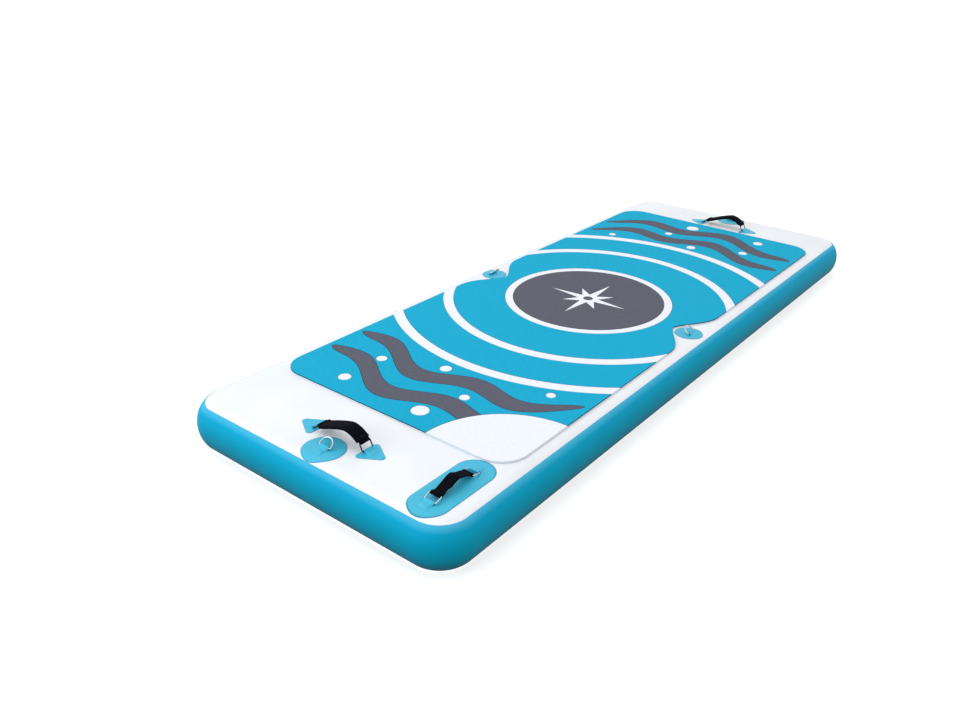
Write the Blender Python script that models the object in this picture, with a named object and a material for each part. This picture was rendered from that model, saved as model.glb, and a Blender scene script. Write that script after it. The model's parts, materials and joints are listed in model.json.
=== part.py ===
"""Inflatable swim float mat: an air-filled body with an inlaid deck pad, two carry handles,
four lashing rings, one accessory strap and an inflation valve.

Metres.  +X is the right long side, +Y runs from the near end, which carries the accessory
strap, to the far end, which carries the valve, and +Z is up.  The origin lies on the floor
under the middle of the mat.
"""
from math import atan2, ceil, cos, hypot, pi, radians, sin, sqrt

import bmesh
import bpy
from mathutils import Matrix, Vector

# Inflated body
MAT_LENGTH = 2.200
MAT_WIDTH = 0.816
MAT_THICKNESS = 0.120
CORNER_RADIUS = 0.0915
RAIL_BULGE = 0.0425
SKIN_THICKNESS = 0.0012
RAIL_THICKNESS = 0.0015
RAIL_EDGE_ANGLE = radians(62)
SEAM_HALF_ANGLE = radians(1.5)
EDGE_STEPS = 3
SIDE_STEPS = 4
CORNER_STEPS = 5
GAP = 0.0003

# Deck pad: a white sheet with routed pockets that hold flush coloured inlays
PAD_THICKNESS = 0.005
PAD_CORNER_RADIUS = 0.070
PAD_SIDE_INSET = 0.0525
PAD_HANDLE_CLEARANCE = 0.017
PAD_NEST = 0.001
POCKET_DEPTH = 0.0025
NOTCH_CLEARANCE = 0.0085
NOTCH_SHOULDER = 0.102
NOTCH_POWER = 1.4
NOTCH_STEPS = 16

# The pad's pattern: the disc fits between the notches, the end fields follow the pad's length,
# the rings share the span between them, the bands share the end field's depth, and one corner
# of the near field stays white
DISC_SHARE = 0.7675
END_INNER_SHARE = 0.6667
FIELD_SHARES = (0.0641, 0.4922)
RING_SHARES = (0.5756, 0.9127)
WAVE_LENGTH_SHARE = 0.422
BAND_WIDTH_SHARE = 0.200
BAND_SWELL_SHARE = 0.085
BAND_BOW_SHARE = 0.300
BAND_OFFSET_SHARES = (0.275, 0.660)
BAND_SIDE_MARGIN = 0.016
BUBBLE_RADIUS = 0.022
CORNER_FIELD_RADIUS = 0.222
CIRCLE_STEPS = 48
EDGE_POINTS = 18
BUBBLE_STEPS = 10
STAR_LONG_SHARE = 0.5625
STAR_SHORT_SHARE = 0.3510
STAR_WAIST_SHARE = 0.1350
STAR_EYE_SHARE = 0.0630
STAR_DEPTH = 0.0012
STAR_POINTS = 8

# Weld-on patches
PATCH_THICKNESS = 0.0010
PATCH_STEPS = 20
RING_PATCH_RADIUS = 0.049
SIDE_PATCH_RADIUS = 0.038
PATCH_RAIL_CLEARANCE = 0.00015
SIDE_PATCH_EDGE_INSET = 0.034
SIDE_PATCH_SHIFT = 0.006

# Tabs that hold the rings
TAB_THICKNESS = 0.0012
TAB_WIDTH = 0.027
TAB_LENGTH = 0.028
SIDE_TAB_LENGTH = 0.022
TAB_CLEARANCE = 0.0005
TAB_LEAVE_ANGLE = radians(120)
TAB_ARC_STEPS = 7

# Lashing rings
RING_WIRE = 0.0040
RING_WIDTH = 0.0334
RING_LENGTH = 0.0220
RING_BEND = 0.0030
RING_LEAN = radians(40)
END_BAR_OFFSET = 0.002
SIDE_BAR_OFFSET = 0.006
WIRE_SIDES = 6
D_RING_STEPS = 8

# Carry handles
NEAR_HANDLE_INSET = 0.1265
FAR_HANDLE_INSET = 0.1570
HANDLE_SHIFT = 0.008
HANDLE_SPAN = 0.155
LOOP_WIRE = 0.0030
LOOP_WIDTH = 0.0300
LOOP_LENGTH = 0.0200
LOOP_BEND = 0.0040
LOOP_SIDES = 6
LOOP_BEND_STEPS = 2
LOW_LOOP_LEAN = radians(29)
HIGH_LOOP_LEAN = radians(63)
HANDLE_TAB_LENGTH = 0.024
HANDLE_TAB_WIDTH = 0.0245
HANDLE_PATCH_LENGTH = 0.048
HANDLE_PATCH_WIDTH = 0.066
HANDLE_PATCH_ROUND = 0.009
WEBBING_WIDTH = 0.0245
WEBBING_THICKNESS = 0.0014
WEBBING_TAIL = 0.030
WEBBING_BLEND = 0.010
WEBBING_STEP = 0.0080
LOOP_CLEARANCE = 0.0016
GRIP_WIDTH = 0.035
GRIP_WALL = 0.0020
GRIP_START = 0.0040
GRIP_ROUND_SHARE = 0.6
GRIP_BORE_ROUND_SHARE = 0.08
ARCH_HEIGHT = 0.041
ARCH_RUN_SHARES = (0.10, 0.30, 0.50, 0.67, 0.82, 0.93)
ARCH_RISE_SHARES = (0.42, 0.66, 0.87, 0.99, 0.88, 0.68)

# Accessory strap
STRAP_PATCH_LENGTH = 0.228
STRAP_PATCH_WIDTH = 0.091
STRAP_SIDE_INSET = 0.057
STRAP_END_INSET = 0.028
STRAP_BAR_INSET = 0.0455
STRAP_TAB_LENGTH = 0.024
NEAR_STRAP_LEAN = radians(18)
FAR_STRAP_LEAN = radians(9)
STRAP_TAIL = 0.016
STRAP_HUMP = 0.0240
STRAP_TIP_LENGTH = 0.0100
STRAP_TIP_SHARE = 0.35
STRAP_LAYER = 0.0024
LOOP_STRAP_RUN_SHARES = (0.12, 0.24, 0.36, 0.47, 0.56, 0.63)
LOOP_STRAP_RISE_SHARES = (0.39, 0.56, 0.76, 0.93, 1.00, 0.96)
HOOK_STRAP_RUN_SHARES = (0.88, 0.76, 0.64, 0.54, 0.44, 0.34, 0.25)
HOOK_STRAP_RISE_SHARES = (0.60, 0.74, 0.87, 0.90, 0.79, 0.62, 0.47)

# Inflation valve, sunk in the far end of the rail
VALVE_SINK = 0.0050
BORE_RADIUS = 0.017
BARREL_WALL = 0.004
BARREL_CLEARANCE = 0.0014
FLANGE_WIDTH = 0.008
FLANGE_THICKNESS = 0.0025
FLOOR_DEPTH = 0.026
FLOOR_THICKNESS = 0.003
AIR_HOLE_RADIUS = 0.0036
AIR_HOLES = 4
CAP_INSET = 0.005
CAP_HEIGHT = 0.0042
CAP_PLUG_DEPTH = 0.005
CAP_DISH_DEPTH = 0.0022
CAP_RIM = 0.0040
CAP_BAR_WIDTH = 0.0060
STEM_RADIUS = 0.0030
STEM_TRAVEL = 0.005
BUTTON_LIP = 0.00155
BUTTON_DEPTH = 0.0125
BUTTON_THICKNESS = 0.0030
POPPET_CLEARANCE = 0.0025
POPPET_THICKNESS = 0.0020
SEAL_THICKNESS = 0.0020
SPRING_CLEARANCE = 0.00105
SPRING_WIRE = 0.0009
SPRING_TURNS = 5
SPRING_POINTS = 8
ROUND_STEPS = 16

HALF_THICKNESS = MAT_THICKNESS / 2
SKIN_HALF_WIDTH = MAT_WIDTH / 2 - RAIL_THICKNESS - GAP
SKIN_HALF_LENGTH = MAT_LENGTH / 2 - RAIL_THICKNESS - GAP
FLAT_HALF_WIDTH = SKIN_HALF_WIDTH - RAIL_BULGE
FLAT_HALF_LENGTH = SKIN_HALF_LENGTH - RAIL_BULGE
FLAT_CORNER = CORNER_RADIUS - RAIL_THICKNESS - GAP - RAIL_BULGE
PAD_FLOOR = MAT_THICKNESS + GAP
PAD_TOP = PAD_FLOOR + PAD_THICKNESS
POCKET_FLOOR = PAD_TOP - POCKET_DEPTH
RAIL_TOP_INSET = RAIL_THICKNESS + GAP + RAIL_BULGE * (1 - cos(RAIL_EDGE_ANGLE))
END_PATCH_INSET = RAIL_TOP_INSET + PATCH_RAIL_CLEARANCE + RING_PATCH_RADIUS
SIDE_PATCH_INSET = SIDE_PATCH_EDGE_INSET + SIDE_PATCH_RADIUS
STRAP_INSET_X = STRAP_SIDE_INSET + STRAP_PATCH_WIDTH / 2
STRAP_INSET_Y = STRAP_END_INSET + STRAP_PATCH_LENGTH / 2
STRAP_BASE_SPAN = STRAP_PATCH_LENGTH - 2 * STRAP_BAR_INSET
PAD_NEAR_INSET = STRAP_END_INSET + STRAP_PATCH_LENGTH - PAD_NEST
PAD_FAR_INSET = FAR_HANDLE_INSET + HANDLE_PATCH_WIDTH / 2 + PAD_HANDLE_CLEARANCE
PAD_HALF_WIDTH = MAT_WIDTH / 2 - PAD_SIDE_INSET
PAD_HALF_LENGTH = (MAT_LENGTH - PAD_NEAR_INSET - PAD_FAR_INSET) / 2
PAD_SHIFT = (PAD_NEAR_INSET - PAD_FAR_INSET) / 2
NOTCH_DEPTH = SIDE_PATCH_INSET + SIDE_PATCH_RADIUS + NOTCH_CLEARANCE - PAD_SIDE_INSET
NOTCH_LENGTH = 2 * (SIDE_PATCH_RADIUS + NOTCH_SHOULDER)
NOTCH_SHIFT = SIDE_PATCH_SHIFT - PAD_SHIFT
DISC_RADIUS = (PAD_HALF_WIDTH - NOTCH_DEPTH) * DISC_SHARE
END_INNER_RADIUS = PAD_HALF_LENGTH * END_INNER_SHARE
RING_SPAN = END_INNER_RADIUS - DISC_RADIUS
FIELD_RADII = [DISC_RADIUS + RING_SPAN * share for share in FIELD_SHARES]
RING_RADII = [DISC_RADIUS + RING_SPAN * share for share in RING_SHARES]
END_DEPTH = PAD_HALF_LENGTH - END_INNER_RADIUS
WAVE_LENGTH = 2 * PAD_HALF_WIDTH * WAVE_LENGTH_SHARE
STAR_EYE_RADIUS = DISC_RADIUS * STAR_EYE_SHARE
BARREL_RADIUS = BORE_RADIUS + BARREL_WALL
FLANGE_RADIUS = BARREL_RADIUS + FLANGE_WIDTH
CAP_RADIUS = FLANGE_RADIUS - CAP_INSET
POPPET_RADIUS = BORE_RADIUS - POPPET_CLEARANCE
SEAL_TOP = -FLOOR_DEPTH - FLOOR_THICKNESS - GAP
POPPET_TOP = SEAL_TOP - SEAL_THICKNESS - GAP
BARREL_DEPTH = POPPET_THICKNESS - POPPET_TOP + STEM_TRAVEL + BARREL_CLEARANCE
SPRING_RADIUS = STEM_RADIUS + SPRING_CLEARANCE + SPRING_WIRE / 2
BUTTON_RADIUS = SPRING_RADIUS + SPRING_WIRE / 2 + BUTTON_LIP
CUT_OVERRUN = 0.010
SHARP_ANGLE = radians(35)

WHITE = (0.93, 0.95, 0.96)
POOL_BLUE = (0.02, 0.45, 0.68)
SLATE_GREY = (0.13, 0.13, 0.18)
TEAL = (0.01, 0.33, 0.50)
LIGHT_TEAL = (0.06, 0.50, 0.68)
BLACK = (0.008, 0.008, 0.014)
STEEL = (0.75, 0.77, 0.80)
VALVE_GREY = (0.22, 0.23, 0.25)
FOAM_GREY = (0.62, 0.64, 0.66)
RUBBER = (0.02, 0.02, 0.02)


def clear_scene():
    """Remove every object that the opened file holds."""
    for old in list(bpy.data.objects):
        bpy.data.objects.remove(old, do_unlink=True)


def material(name, colour, roughness, metallic=0.0):
    """Return a Principled material of one colour."""
    made = bpy.data.materials.new(name)
    made.use_nodes = True
    shader = made.node_tree.nodes["Principled BSDF"]
    shader.inputs["Base Color"].default_value = (*colour, 1.0)
    shader.inputs["Roughness"].default_value = roughness
    shader.inputs["Metallic"].default_value = metallic
    return made


def add_object(name, mesh, colour, roughness, metallic=0.0, place=None, smooth=False):
    """Put a mesh in the scene as a named piece with its own material."""
    mesh.name = name
    if smooth:
        mesh.shade_smooth()
        mesh.set_sharp_from_angle(angle=SHARP_ANGLE)
    piece = bpy.data.objects.new(name, mesh)
    mesh.materials.clear()
    mesh.materials.append(material(name, colour, roughness, metallic))
    bpy.context.scene.collection.objects.link(piece)
    if place is not None:
        piece.matrix_world = place
    return piece


def finish_mesh(build):
    """Turn a bmesh into a mesh whose faces point out."""
    bmesh.ops.recalc_face_normals(build, faces=build.faces)
    mesh = bpy.data.meshes.new("mesh")
    build.to_mesh(mesh)
    build.free()
    return mesh


def loft(loops, closed=False):
    """Skin a row of loops of equal count; a closed row is a ring, an open one is capped."""
    build = bmesh.new()
    rows = [[build.verts.new(point) for point in loop] for loop in loops]
    pairs = list(zip(rows, rows[1:]))
    if closed:
        pairs.append((rows[-1], rows[0]))
    for low, high in pairs:
        count = len(low)
        for i in range(count):
            j = (i + 1) % count
            build.faces.new((low[i], low[j], high[j], high[i]))
    if not closed:
        build.faces.new(rows[0][::-1])
        build.faces.new(rows[-1])
    return finish_mesh(build)


def prism(outline, floor, top):
    """Return the mesh of a flat outline raised from floor to top."""
    return loft([[(x, y, level) for x, y in outline] for level in (floor, top)])


def combine(mesh, tool, operation):
    """Return mesh cut by, joined to or kept inside the tool mesh."""
    body = bpy.data.objects.new("body", mesh)
    other = bpy.data.objects.new("tool", tool)
    for item in (body, other):
        bpy.context.scene.collection.objects.link(item)
    step = body.modifiers.new("combine", "BOOLEAN")
    step.object = other
    step.operation = operation
    step.solver = "EXACT"
    bpy.context.view_layer.update()
    graph = bpy.context.evaluated_depsgraph_get()
    result = bpy.data.meshes.new_from_object(body.evaluated_get(graph))
    for item in (body, other):
        bpy.data.objects.remove(item, do_unlink=True)
    return result


def arc(centre_x, centre_y, radius, start, end, steps):
    """Points on an arc from the start angle to the end angle."""
    points = []
    for i in range(steps + 1):
        angle = start + (end - start) * i / steps
        points.append((centre_x + radius * cos(angle), centre_y + radius * sin(angle)))
    return points


def circle(centre_x, centre_y, radius, steps):
    """Points round a full circle."""
    return arc(centre_x, centre_y, radius, 0, 2 * pi * (steps - 1) / steps, steps - 1)


def rounded_rectangle(half_x, half_y, radius, steps):
    """Points round a rectangle with round corners, anticlockwise from the right side."""
    points = []
    for quarter, (side_x, side_y) in enumerate(((1, 1), (-1, 1), (-1, -1), (1, -1))):
        start = quarter * pi / 2
        points += arc(side_x * (half_x - radius), side_y * (half_y - radius), radius,
                      start, start + pi / 2, steps)
    return points


def girth_loop(angle, depth):
    """Loop round the mat at one angle of its girth: 0 is the widest line, 90 deg the deck."""
    outward = (RAIL_BULGE - depth) * cos(angle)
    height = HALF_THICKNESS + (HALF_THICKNESS - depth) * sin(angle)
    plan = rounded_rectangle(FLAT_HALF_WIDTH + outward, FLAT_HALF_LENGTH + outward,
                             FLAT_CORNER + outward, CORNER_STEPS)
    return [(x, y, height) for x, y in plan]


def girth_angles():
    """Girth angles from the seam up to the deck, with one at the rail's edge."""
    side = [RAIL_EDGE_ANGLE * i / SIDE_STEPS for i in range(1, SIDE_STEPS + 1)]
    rest = pi / 2 - RAIL_EDGE_ANGLE
    edge = [RAIL_EDGE_ANGLE + rest * i / EDGE_STEPS for i in range(1, EDGE_STEPS + 1)]
    return side + edge


def skin_mesh(side):
    """Coated fabric over the deck (side 1) or the underside (side -1), down to the seam."""
    angles = [side * angle for angle in [SEAM_HALF_ANGLE] + girth_angles()]
    inner = [girth_loop(angle, SKIN_THICKNESS) for angle in reversed(angles)]
    outer = [girth_loop(angle, 0) for angle in angles]
    return loft(inner + outer)


def cover_mesh(depth):
    """Whole mat as one solid, its surface at the given depth below the skins' outer face."""
    upper = girth_angles()
    angles = [-angle for angle in reversed(upper)] + [0] + upper
    return loft([girth_loop(angle, depth) for angle in angles])


def core_mesh():
    """Drop-stitch core: the threads and the air between the two skins."""
    return cover_mesh(SKIN_THICKNESS + GAP)


def rail_mesh():
    """Rail band, welded over the seam all round the mat."""
    upper = [angle for angle in girth_angles() if angle <= RAIL_EDGE_ANGLE]
    angles = [-angle for angle in reversed(upper)] + [0] + upper
    outer = [girth_loop(angle, -GAP - RAIL_THICKNESS) for angle in angles]
    inner = [girth_loop(angle, -GAP) for angle in reversed(angles)]
    return loft(outer + inner, closed=True)


def valve_place():
    """Valve axis: local +Z points out of the far end of the rail."""
    face = MAT_LENGTH / 2 - VALVE_SINK
    return Matrix.Translation((0, face, HALF_THICKNESS)) @ Matrix.Rotation(-pi / 2, 4, "X")


def valve_cutter(radius, depth):
    """Round cutter along the valve axis from depth to beyond the rail."""
    tool = lathe([(radius, -depth), (radius, VALVE_SINK + CUT_OVERRUN)], closed=False)
    tool.transform(valve_place())
    return tool


def make_body():
    """Core, skins and rail, each pierced for the valve."""
    hole = FLANGE_RADIUS + GAP
    seat = FLANGE_THICKNESS + GAP
    core = combine(core_mesh(), valve_cutter(hole, seat), "DIFFERENCE")
    core = combine(core, valve_cutter(BARREL_RADIUS + GAP, BARREL_DEPTH + GAP), "DIFFERENCE")
    add_object("drop_stitch_core", core, FOAM_GREY, 0.8)
    clear_depth = RAIL_BULGE - VALVE_SINK
    for name, side in (("top_skin", 1), ("bottom_skin", -1)):
        skin = combine(skin_mesh(side), valve_cutter(hole, clear_depth), "DIFFERENCE")
        add_object(name, skin, WHITE, 0.4, smooth=True)
    rail = combine(rail_mesh(), valve_cutter(hole, clear_depth), "DIFFERENCE")
    add_object("side_rail", rail, TEAL, 0.35, smooth=True)


def deck_height(x, y):
    """Height of the top skin above the floor at a point in plan."""
    over_x = abs(x) - (FLAT_HALF_WIDTH - FLAT_CORNER)
    over_y = abs(y) - (FLAT_HALF_LENGTH - FLAT_CORNER)
    beyond = hypot(max(over_x, 0), max(over_y, 0)) - FLAT_CORNER
    if beyond <= 0:
        return MAT_THICKNESS
    return HALF_THICKNESS * (1 + sqrt(max(0, 1 - (beyond / RAIL_BULGE) ** 2)))


def notch_run(half_width, start, end):
    """Right edge of the pad from start to end in y, with the notch round the side patch."""
    half = NOTCH_LENGTH / 2
    points = [(half_width, start)]
    for i in range(NOTCH_STEPS + 1):
        share = 2 * i / NOTCH_STEPS - 1
        inset = NOTCH_DEPTH * (1 - sin(pi / 2 * abs(share)) ** NOTCH_POWER)
        points.append((half_width - inset, NOTCH_SHIFT + half * share))
    points.append((half_width, end))
    return points


def mirrored_run(run):
    """The same edge on the left side, run the other way."""
    return [(-x, y) for x, y in reversed(run)]


def pad_outline():
    """Outline of the pad about its own centre: round corners and two side notches."""
    corner_x = PAD_HALF_WIDTH - PAD_CORNER_RADIUS
    corner_y = PAD_HALF_LENGTH - PAD_CORNER_RADIUS
    steps = CORNER_STEPS
    right = notch_run(PAD_HALF_WIDTH, -corner_y, corner_y)
    top_right = arc(corner_x, corner_y, PAD_CORNER_RADIUS, 0, pi / 2, steps)[1:]
    top_left = arc(-corner_x, corner_y, PAD_CORNER_RADIUS, pi / 2, pi, steps)[:-1]
    low_left = arc(-corner_x, -corner_y, PAD_CORNER_RADIUS, pi, 3 * pi / 2, steps)[1:]
    low_right = arc(corner_x, -corner_y, PAD_CORNER_RADIUS, 3 * pi / 2, 2 * pi, steps)[:-1]
    return right + top_right + top_left + mirrored_run(right) + low_left + low_right


def disc_mesh(radius, floor, top):
    """Flat round disc about the pad's centre; every disc has its corners at equal angles."""
    return prism(circle(0, 0, radius, CIRCLE_STEPS), floor, top)


def annulus_mesh(inner, outer, floor, top):
    """Flat ring between two radii about the pad's centre."""
    hole = disc_mesh(inner, floor - CUT_OVERRUN, top + CUT_OVERRUN)
    return combine(disc_mesh(outer, floor, top), hole, "DIFFERENCE")


def within_pad(mesh):
    """Keep what lies inside the pad's outline."""
    return combine(mesh, prism(pad_outline(), 0, PAD_TOP + CUT_OVERRUN), "INTERSECT")


def half_plan_mesh(side):
    """Block over the far (side 1) or the near (side -1) half of the pad."""
    wide, long = 2 * PAD_HALF_WIDTH, 2 * PAD_HALF_LENGTH
    outline = [(-wide, GAP), (wide, GAP), (wide, long), (-wide, long)]
    return prism([(side * x, side * y) for x, y in outline], 0, PAD_TOP + CUT_OVERRUN)


def end_field_mesh(shrink, floor, top, side):
    """Ground of one end field, from the outer white ring to beyond the end of the pad."""
    wide = PAD_HALF_WIDTH + CUT_OVERRUN
    long = PAD_HALF_LENGTH + CUT_OVERRUN
    outline = [(-wide, 0), (wide, 0), (wide, long), (-wide, long)]
    block = prism([(side * x, side * y) for x, y in outline], floor, top)
    ring = disc_mesh(END_INNER_RADIUS + shrink, floor - CUT_OVERRUN, top + CUT_OVERRUN)
    ground = combine(block, ring, "DIFFERENCE")
    for x, y, radius in bubble_places():
        bubble = circle(side * x, side * y, radius + shrink, BUBBLE_STEPS)
        bubble = prism(bubble, floor - CUT_OVERRUN, top + CUT_OVERRUN)
        ground = combine(ground, bubble, "DIFFERENCE")
    return without_corner(ground, shrink, side)


def without_corner(mesh, shrink, side):
    """Leave the near field's right corner to the white sheet; the far field keeps both."""
    if side > 0:
        return mesh
    round_corner = prism(circle(PAD_HALF_WIDTH, -PAD_HALF_LENGTH, CORNER_FIELD_RADIUS + shrink,
                                CIRCLE_STEPS), 0, PAD_TOP + 2 * CUT_OVERRUN)
    return combine(mesh, round_corner, "DIFFERENCE")


def wave_outline(offset_share, grow, side):
    """A swelling wave band that bows along the rings and tapers to round ends."""
    reach = PAD_HALF_WIDTH - BAND_SIDE_MARGIN + grow
    upper, lower = [], []
    for i in range(EDGE_POINTS + 1):
        share = -cos(pi * i / EDGE_POINTS)
        x = reach * share
        middle = END_INNER_RADIUS + END_DEPTH * (offset_share - BAND_BOW_SHARE * share ** 2)
        middle += END_DEPTH * BAND_SWELL_SHARE * sin(2 * pi * x / WAVE_LENGTH)
        half = (END_DEPTH * BAND_WIDTH_SHARE / 2 + grow) * (1 - share ** 4) ** 0.5
        upper.append((x, middle + half))
        lower.append((x, middle - half))
    points = lower + upper[-2:0:-1]
    return [(side * x, side * y) for x, y in points]


def bubble_places():
    """Bubble centres and radii of one end field, as shares of the pad and the bubble."""
    rows_shares = ((-0.17, 0.928, 1.00), (0.53, 0.777, 0.65), (0.53, 0.925, 0.75),
                   (-0.28, 0.800, 0.60), (-0.70, 0.640, 0.55), (0.08, 0.705, 0.70))
    places = []
    for x_share, y_share, size_share in rows_shares:
        places.append((PAD_HALF_WIDTH * x_share, PAD_HALF_LENGTH * y_share,
                       BUBBLE_RADIUS * size_share))
    return places


def star_outline(grow):
    """Eight-pointed compass star with long points along the axes."""
    points = []
    for i in range(2 * STAR_POINTS):
        if i % 2:
            radius = DISC_RADIUS * STAR_WAIST_SHARE + grow
        elif i % 4 == 0:
            radius = DISC_RADIUS * STAR_LONG_SHARE + 2 * grow
        else:
            radius = DISC_RADIUS * STAR_SHORT_SHARE + 2 * grow
        angle = pi * i / STAR_POINTS
        points.append((radius * cos(angle), radius * sin(angle)))
    return points


def place_on_pad(mesh):
    """Move a mesh drawn about the pad's centre to the pad's place on the mat."""
    mesh.transform(Matrix.Translation((0, PAD_SHIFT, 0)))
    return mesh


def make_pad():
    """The white base sheet with its routed pockets."""
    over = PAD_TOP + CUT_OVERRUN
    sheet = prism(pad_outline(), PAD_FLOOR, PAD_TOP)
    pockets = [disc_mesh(DISC_RADIUS, POCKET_FLOOR, over),
               annulus_mesh(*FIELD_RADII, POCKET_FLOOR, over),
               annulus_mesh(*RING_RADII, POCKET_FLOOR, over),
               end_field_mesh(0, POCKET_FLOOR, over, 1),
               end_field_mesh(0, POCKET_FLOOR, over, -1)]
    for pocket in pockets:
        sheet = combine(sheet, pocket, "DIFFERENCE")
    add_object("deck_pad_base", place_on_pad(sheet), WHITE, 0.6)


def make_centre():
    """The slate disc and the white compass star let into it."""
    over = PAD_TOP + CUT_OVERRUN
    disc = disc_mesh(DISC_RADIUS - GAP, POCKET_FLOOR + GAP, PAD_TOP)
    seat = prism(star_outline(GAP), PAD_TOP - STAR_DEPTH, over)
    eye = prism(circle(0, 0, STAR_EYE_RADIUS, ROUND_STEPS), 0, over + CUT_OVERRUN)
    disc = combine(disc, combine(seat, eye, "DIFFERENCE"), "DIFFERENCE")
    add_object("centre_disc", place_on_pad(disc), SLATE_GREY, 0.6)
    star = prism(star_outline(0), PAD_TOP - STAR_DEPTH + GAP, PAD_TOP)
    eye = prism(circle(0, 0, STAR_EYE_RADIUS + GAP, ROUND_STEPS), 0, over)
    star = combine(star, eye, "DIFFERENCE")
    add_object("compass_star", place_on_pad(star), WHITE, 0.6)


def make_inlays():
    """Blue ring fields, and at each end a blue ground with two slate wave bands in it."""
    floor = POCKET_FLOOR + GAP
    over = PAD_TOP + CUT_OVERRUN
    field = annulus_mesh(FIELD_RADII[0] + GAP, FIELD_RADII[1] - GAP, floor, PAD_TOP)
    add_object("inner_ring_field", place_on_pad(within_pad(field)), POOL_BLUE, 0.6)
    for end, side in (("near", -1), ("far", 1)):
        ring = annulus_mesh(RING_RADII[0] + GAP, RING_RADII[1] - GAP, floor, PAD_TOP)
        ring = combine(within_pad(ring), half_plan_mesh(side), "INTERSECT")
        add_object(f"outer_ring_{end}", place_on_pad(ring), POOL_BLUE, 0.6)
        ground = within_pad(end_field_mesh(GAP, floor, PAD_TOP, side))
        for where, offset_share in zip(("inner", "outer"), BAND_OFFSET_SHARES):
            slot = prism(wave_outline(offset_share, GAP, side), 0, over)
            ground = combine(ground, slot, "DIFFERENCE")
            band = prism(wave_outline(offset_share, 0, side), floor, PAD_TOP)
            band = without_corner(band, GAP, side)
            add_object(f"wave_band_{end}_{where}", place_on_pad(band), SLATE_GREY, 0.6)
        add_object(f"end_field_{end}", place_on_pad(ground), POOL_BLUE, 0.6)


def patch_mesh(outline):
    """A welded patch of even thickness that follows the top skin over the mat's edge."""
    patch = prism(outline, HALF_THICKNESS, MAT_THICKNESS + CUT_OVERRUN)
    patch = combine(patch, cover_mesh(-GAP - PATCH_THICKNESS), "INTERSECT")
    return combine(patch, cover_mesh(-GAP), "DIFFERENCE")


def ribbon_mesh(path, thickness, half_widths):
    """A strap from its centre line in the XZ plane; it is as wide along Y as half_widths say."""
    near, far = [], []
    for i, (x, z) in enumerate(path):
        before = path[max(i - 1, 0)]
        after = path[min(i + 1, len(path) - 1)]
        run, rise = after[0] - before[0], after[1] - before[1]
        size = hypot(run, rise)
        across_x, across_z = -rise / size * thickness / 2, run / size * thickness / 2
        near.append((x + across_x, z + across_z))
        far.append((x - across_x, z - across_z))
    loops = []
    for (ax, az), (bx, bz), half in zip(near, far, half_widths):
        loops.append([(ax, -half, az), (ax, half, az), (bx, half, bz), (bx, -half, bz)])
    return loft(loops)


def tube_mesh(path, radius, sides, closed):
    """Round wire along a path of points; each turn keeps its full thickness."""
    points = [Vector(point) for point in path]
    count = len(points)
    loops = []
    up = Vector((0, 0, 1))
    for i, point in enumerate(points):
        if closed:
            before, after = points[i - 1], points[(i + 1) % count]
        else:
            before, after = points[max(i - 1, 0)], points[min(i + 1, count - 1)]
        along = (after - before).normalized()
        across = up.cross(along).normalized()
        rise = along.cross(across)
        turn = (after - point).normalized().dot(along) if after != point else 1
        loop = []
        for j in range(sides):
            angle = 2 * pi * (j + 0.5) / sides
            loop.append(point + across * radius * cos(angle) / turn + rise * radius * sin(angle))
        loops.append(loop)
    return loft(loops, closed=closed)


def bar_height(wire, clearance):
    """Height of a ring's bar above the patch that its tab lies on."""
    return wire / 2 + clearance + TAB_THICKNESS + GAP


def tab_mesh(wire, length, width):
    """Tab welded to its patch: it runs in, wraps the bar at the origin and runs back."""
    centre = bar_height(wire, TAB_CLEARANCE)
    radius = wire / 2 + TAB_CLEARANCE + TAB_THICKNESS / 2
    upper = GAP + TAB_THICKNESS * 1.5 + GAP
    path = [(-length, -radius)]
    for i in range(TAB_ARC_STEPS + 1):
        angle = -pi / 2 + (pi / 2 + TAB_LEAVE_ANGLE) * i / TAB_ARC_STEPS
        path.append((radius * cos(angle), radius * sin(angle)))
    leave_x, leave_z = path[-1]
    drop = centre + leave_z - upper
    run = drop * sin(TAB_LEAVE_ANGLE) / -cos(TAB_LEAVE_ANGLE)
    path.append((leave_x - run, upper - centre))
    path.append((-length, upper - centre))
    return ribbon_mesh(path, TAB_THICKNESS, [width / 2] * len(path))


def d_ring_path():
    """Centre line of a D ring: a straight bar on the Y axis and an arch towards +X."""
    half = RING_WIDTH / 2
    straight = RING_LENGTH - half
    path = arc(RING_BEND, -half + RING_BEND, RING_BEND, pi, 3 * pi / 2, 2)
    path += arc(max(straight, RING_BEND), 0, half, -pi / 2, pi / 2, D_RING_STEPS)
    path += arc(RING_BEND, half - RING_BEND, RING_BEND, pi / 2, pi, 2)
    return [(x, y, 0) for x, y in path]


def loop_path():
    """Centre line of a rectangular loop with its fixed bar on the Y axis."""
    half_x, half_y = LOOP_LENGTH / 2, LOOP_WIDTH / 2
    path = rounded_rectangle(half_x, half_y, LOOP_BEND, LOOP_BEND_STEPS)
    return [(x + half_x, y, 0) for x, y in path]


def heading_place(x, y, z, heading):
    """Placement whose local +X points inboard along the heading angle."""
    return Matrix.Translation((x, y, z)) @ Matrix.Rotation(heading, 4, "Z")


def patch_top(x, y):
    """Height of a patch's upper face at a point in plan."""
    return deck_height(x, y) + GAP + PATCH_THICKNESS


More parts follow.
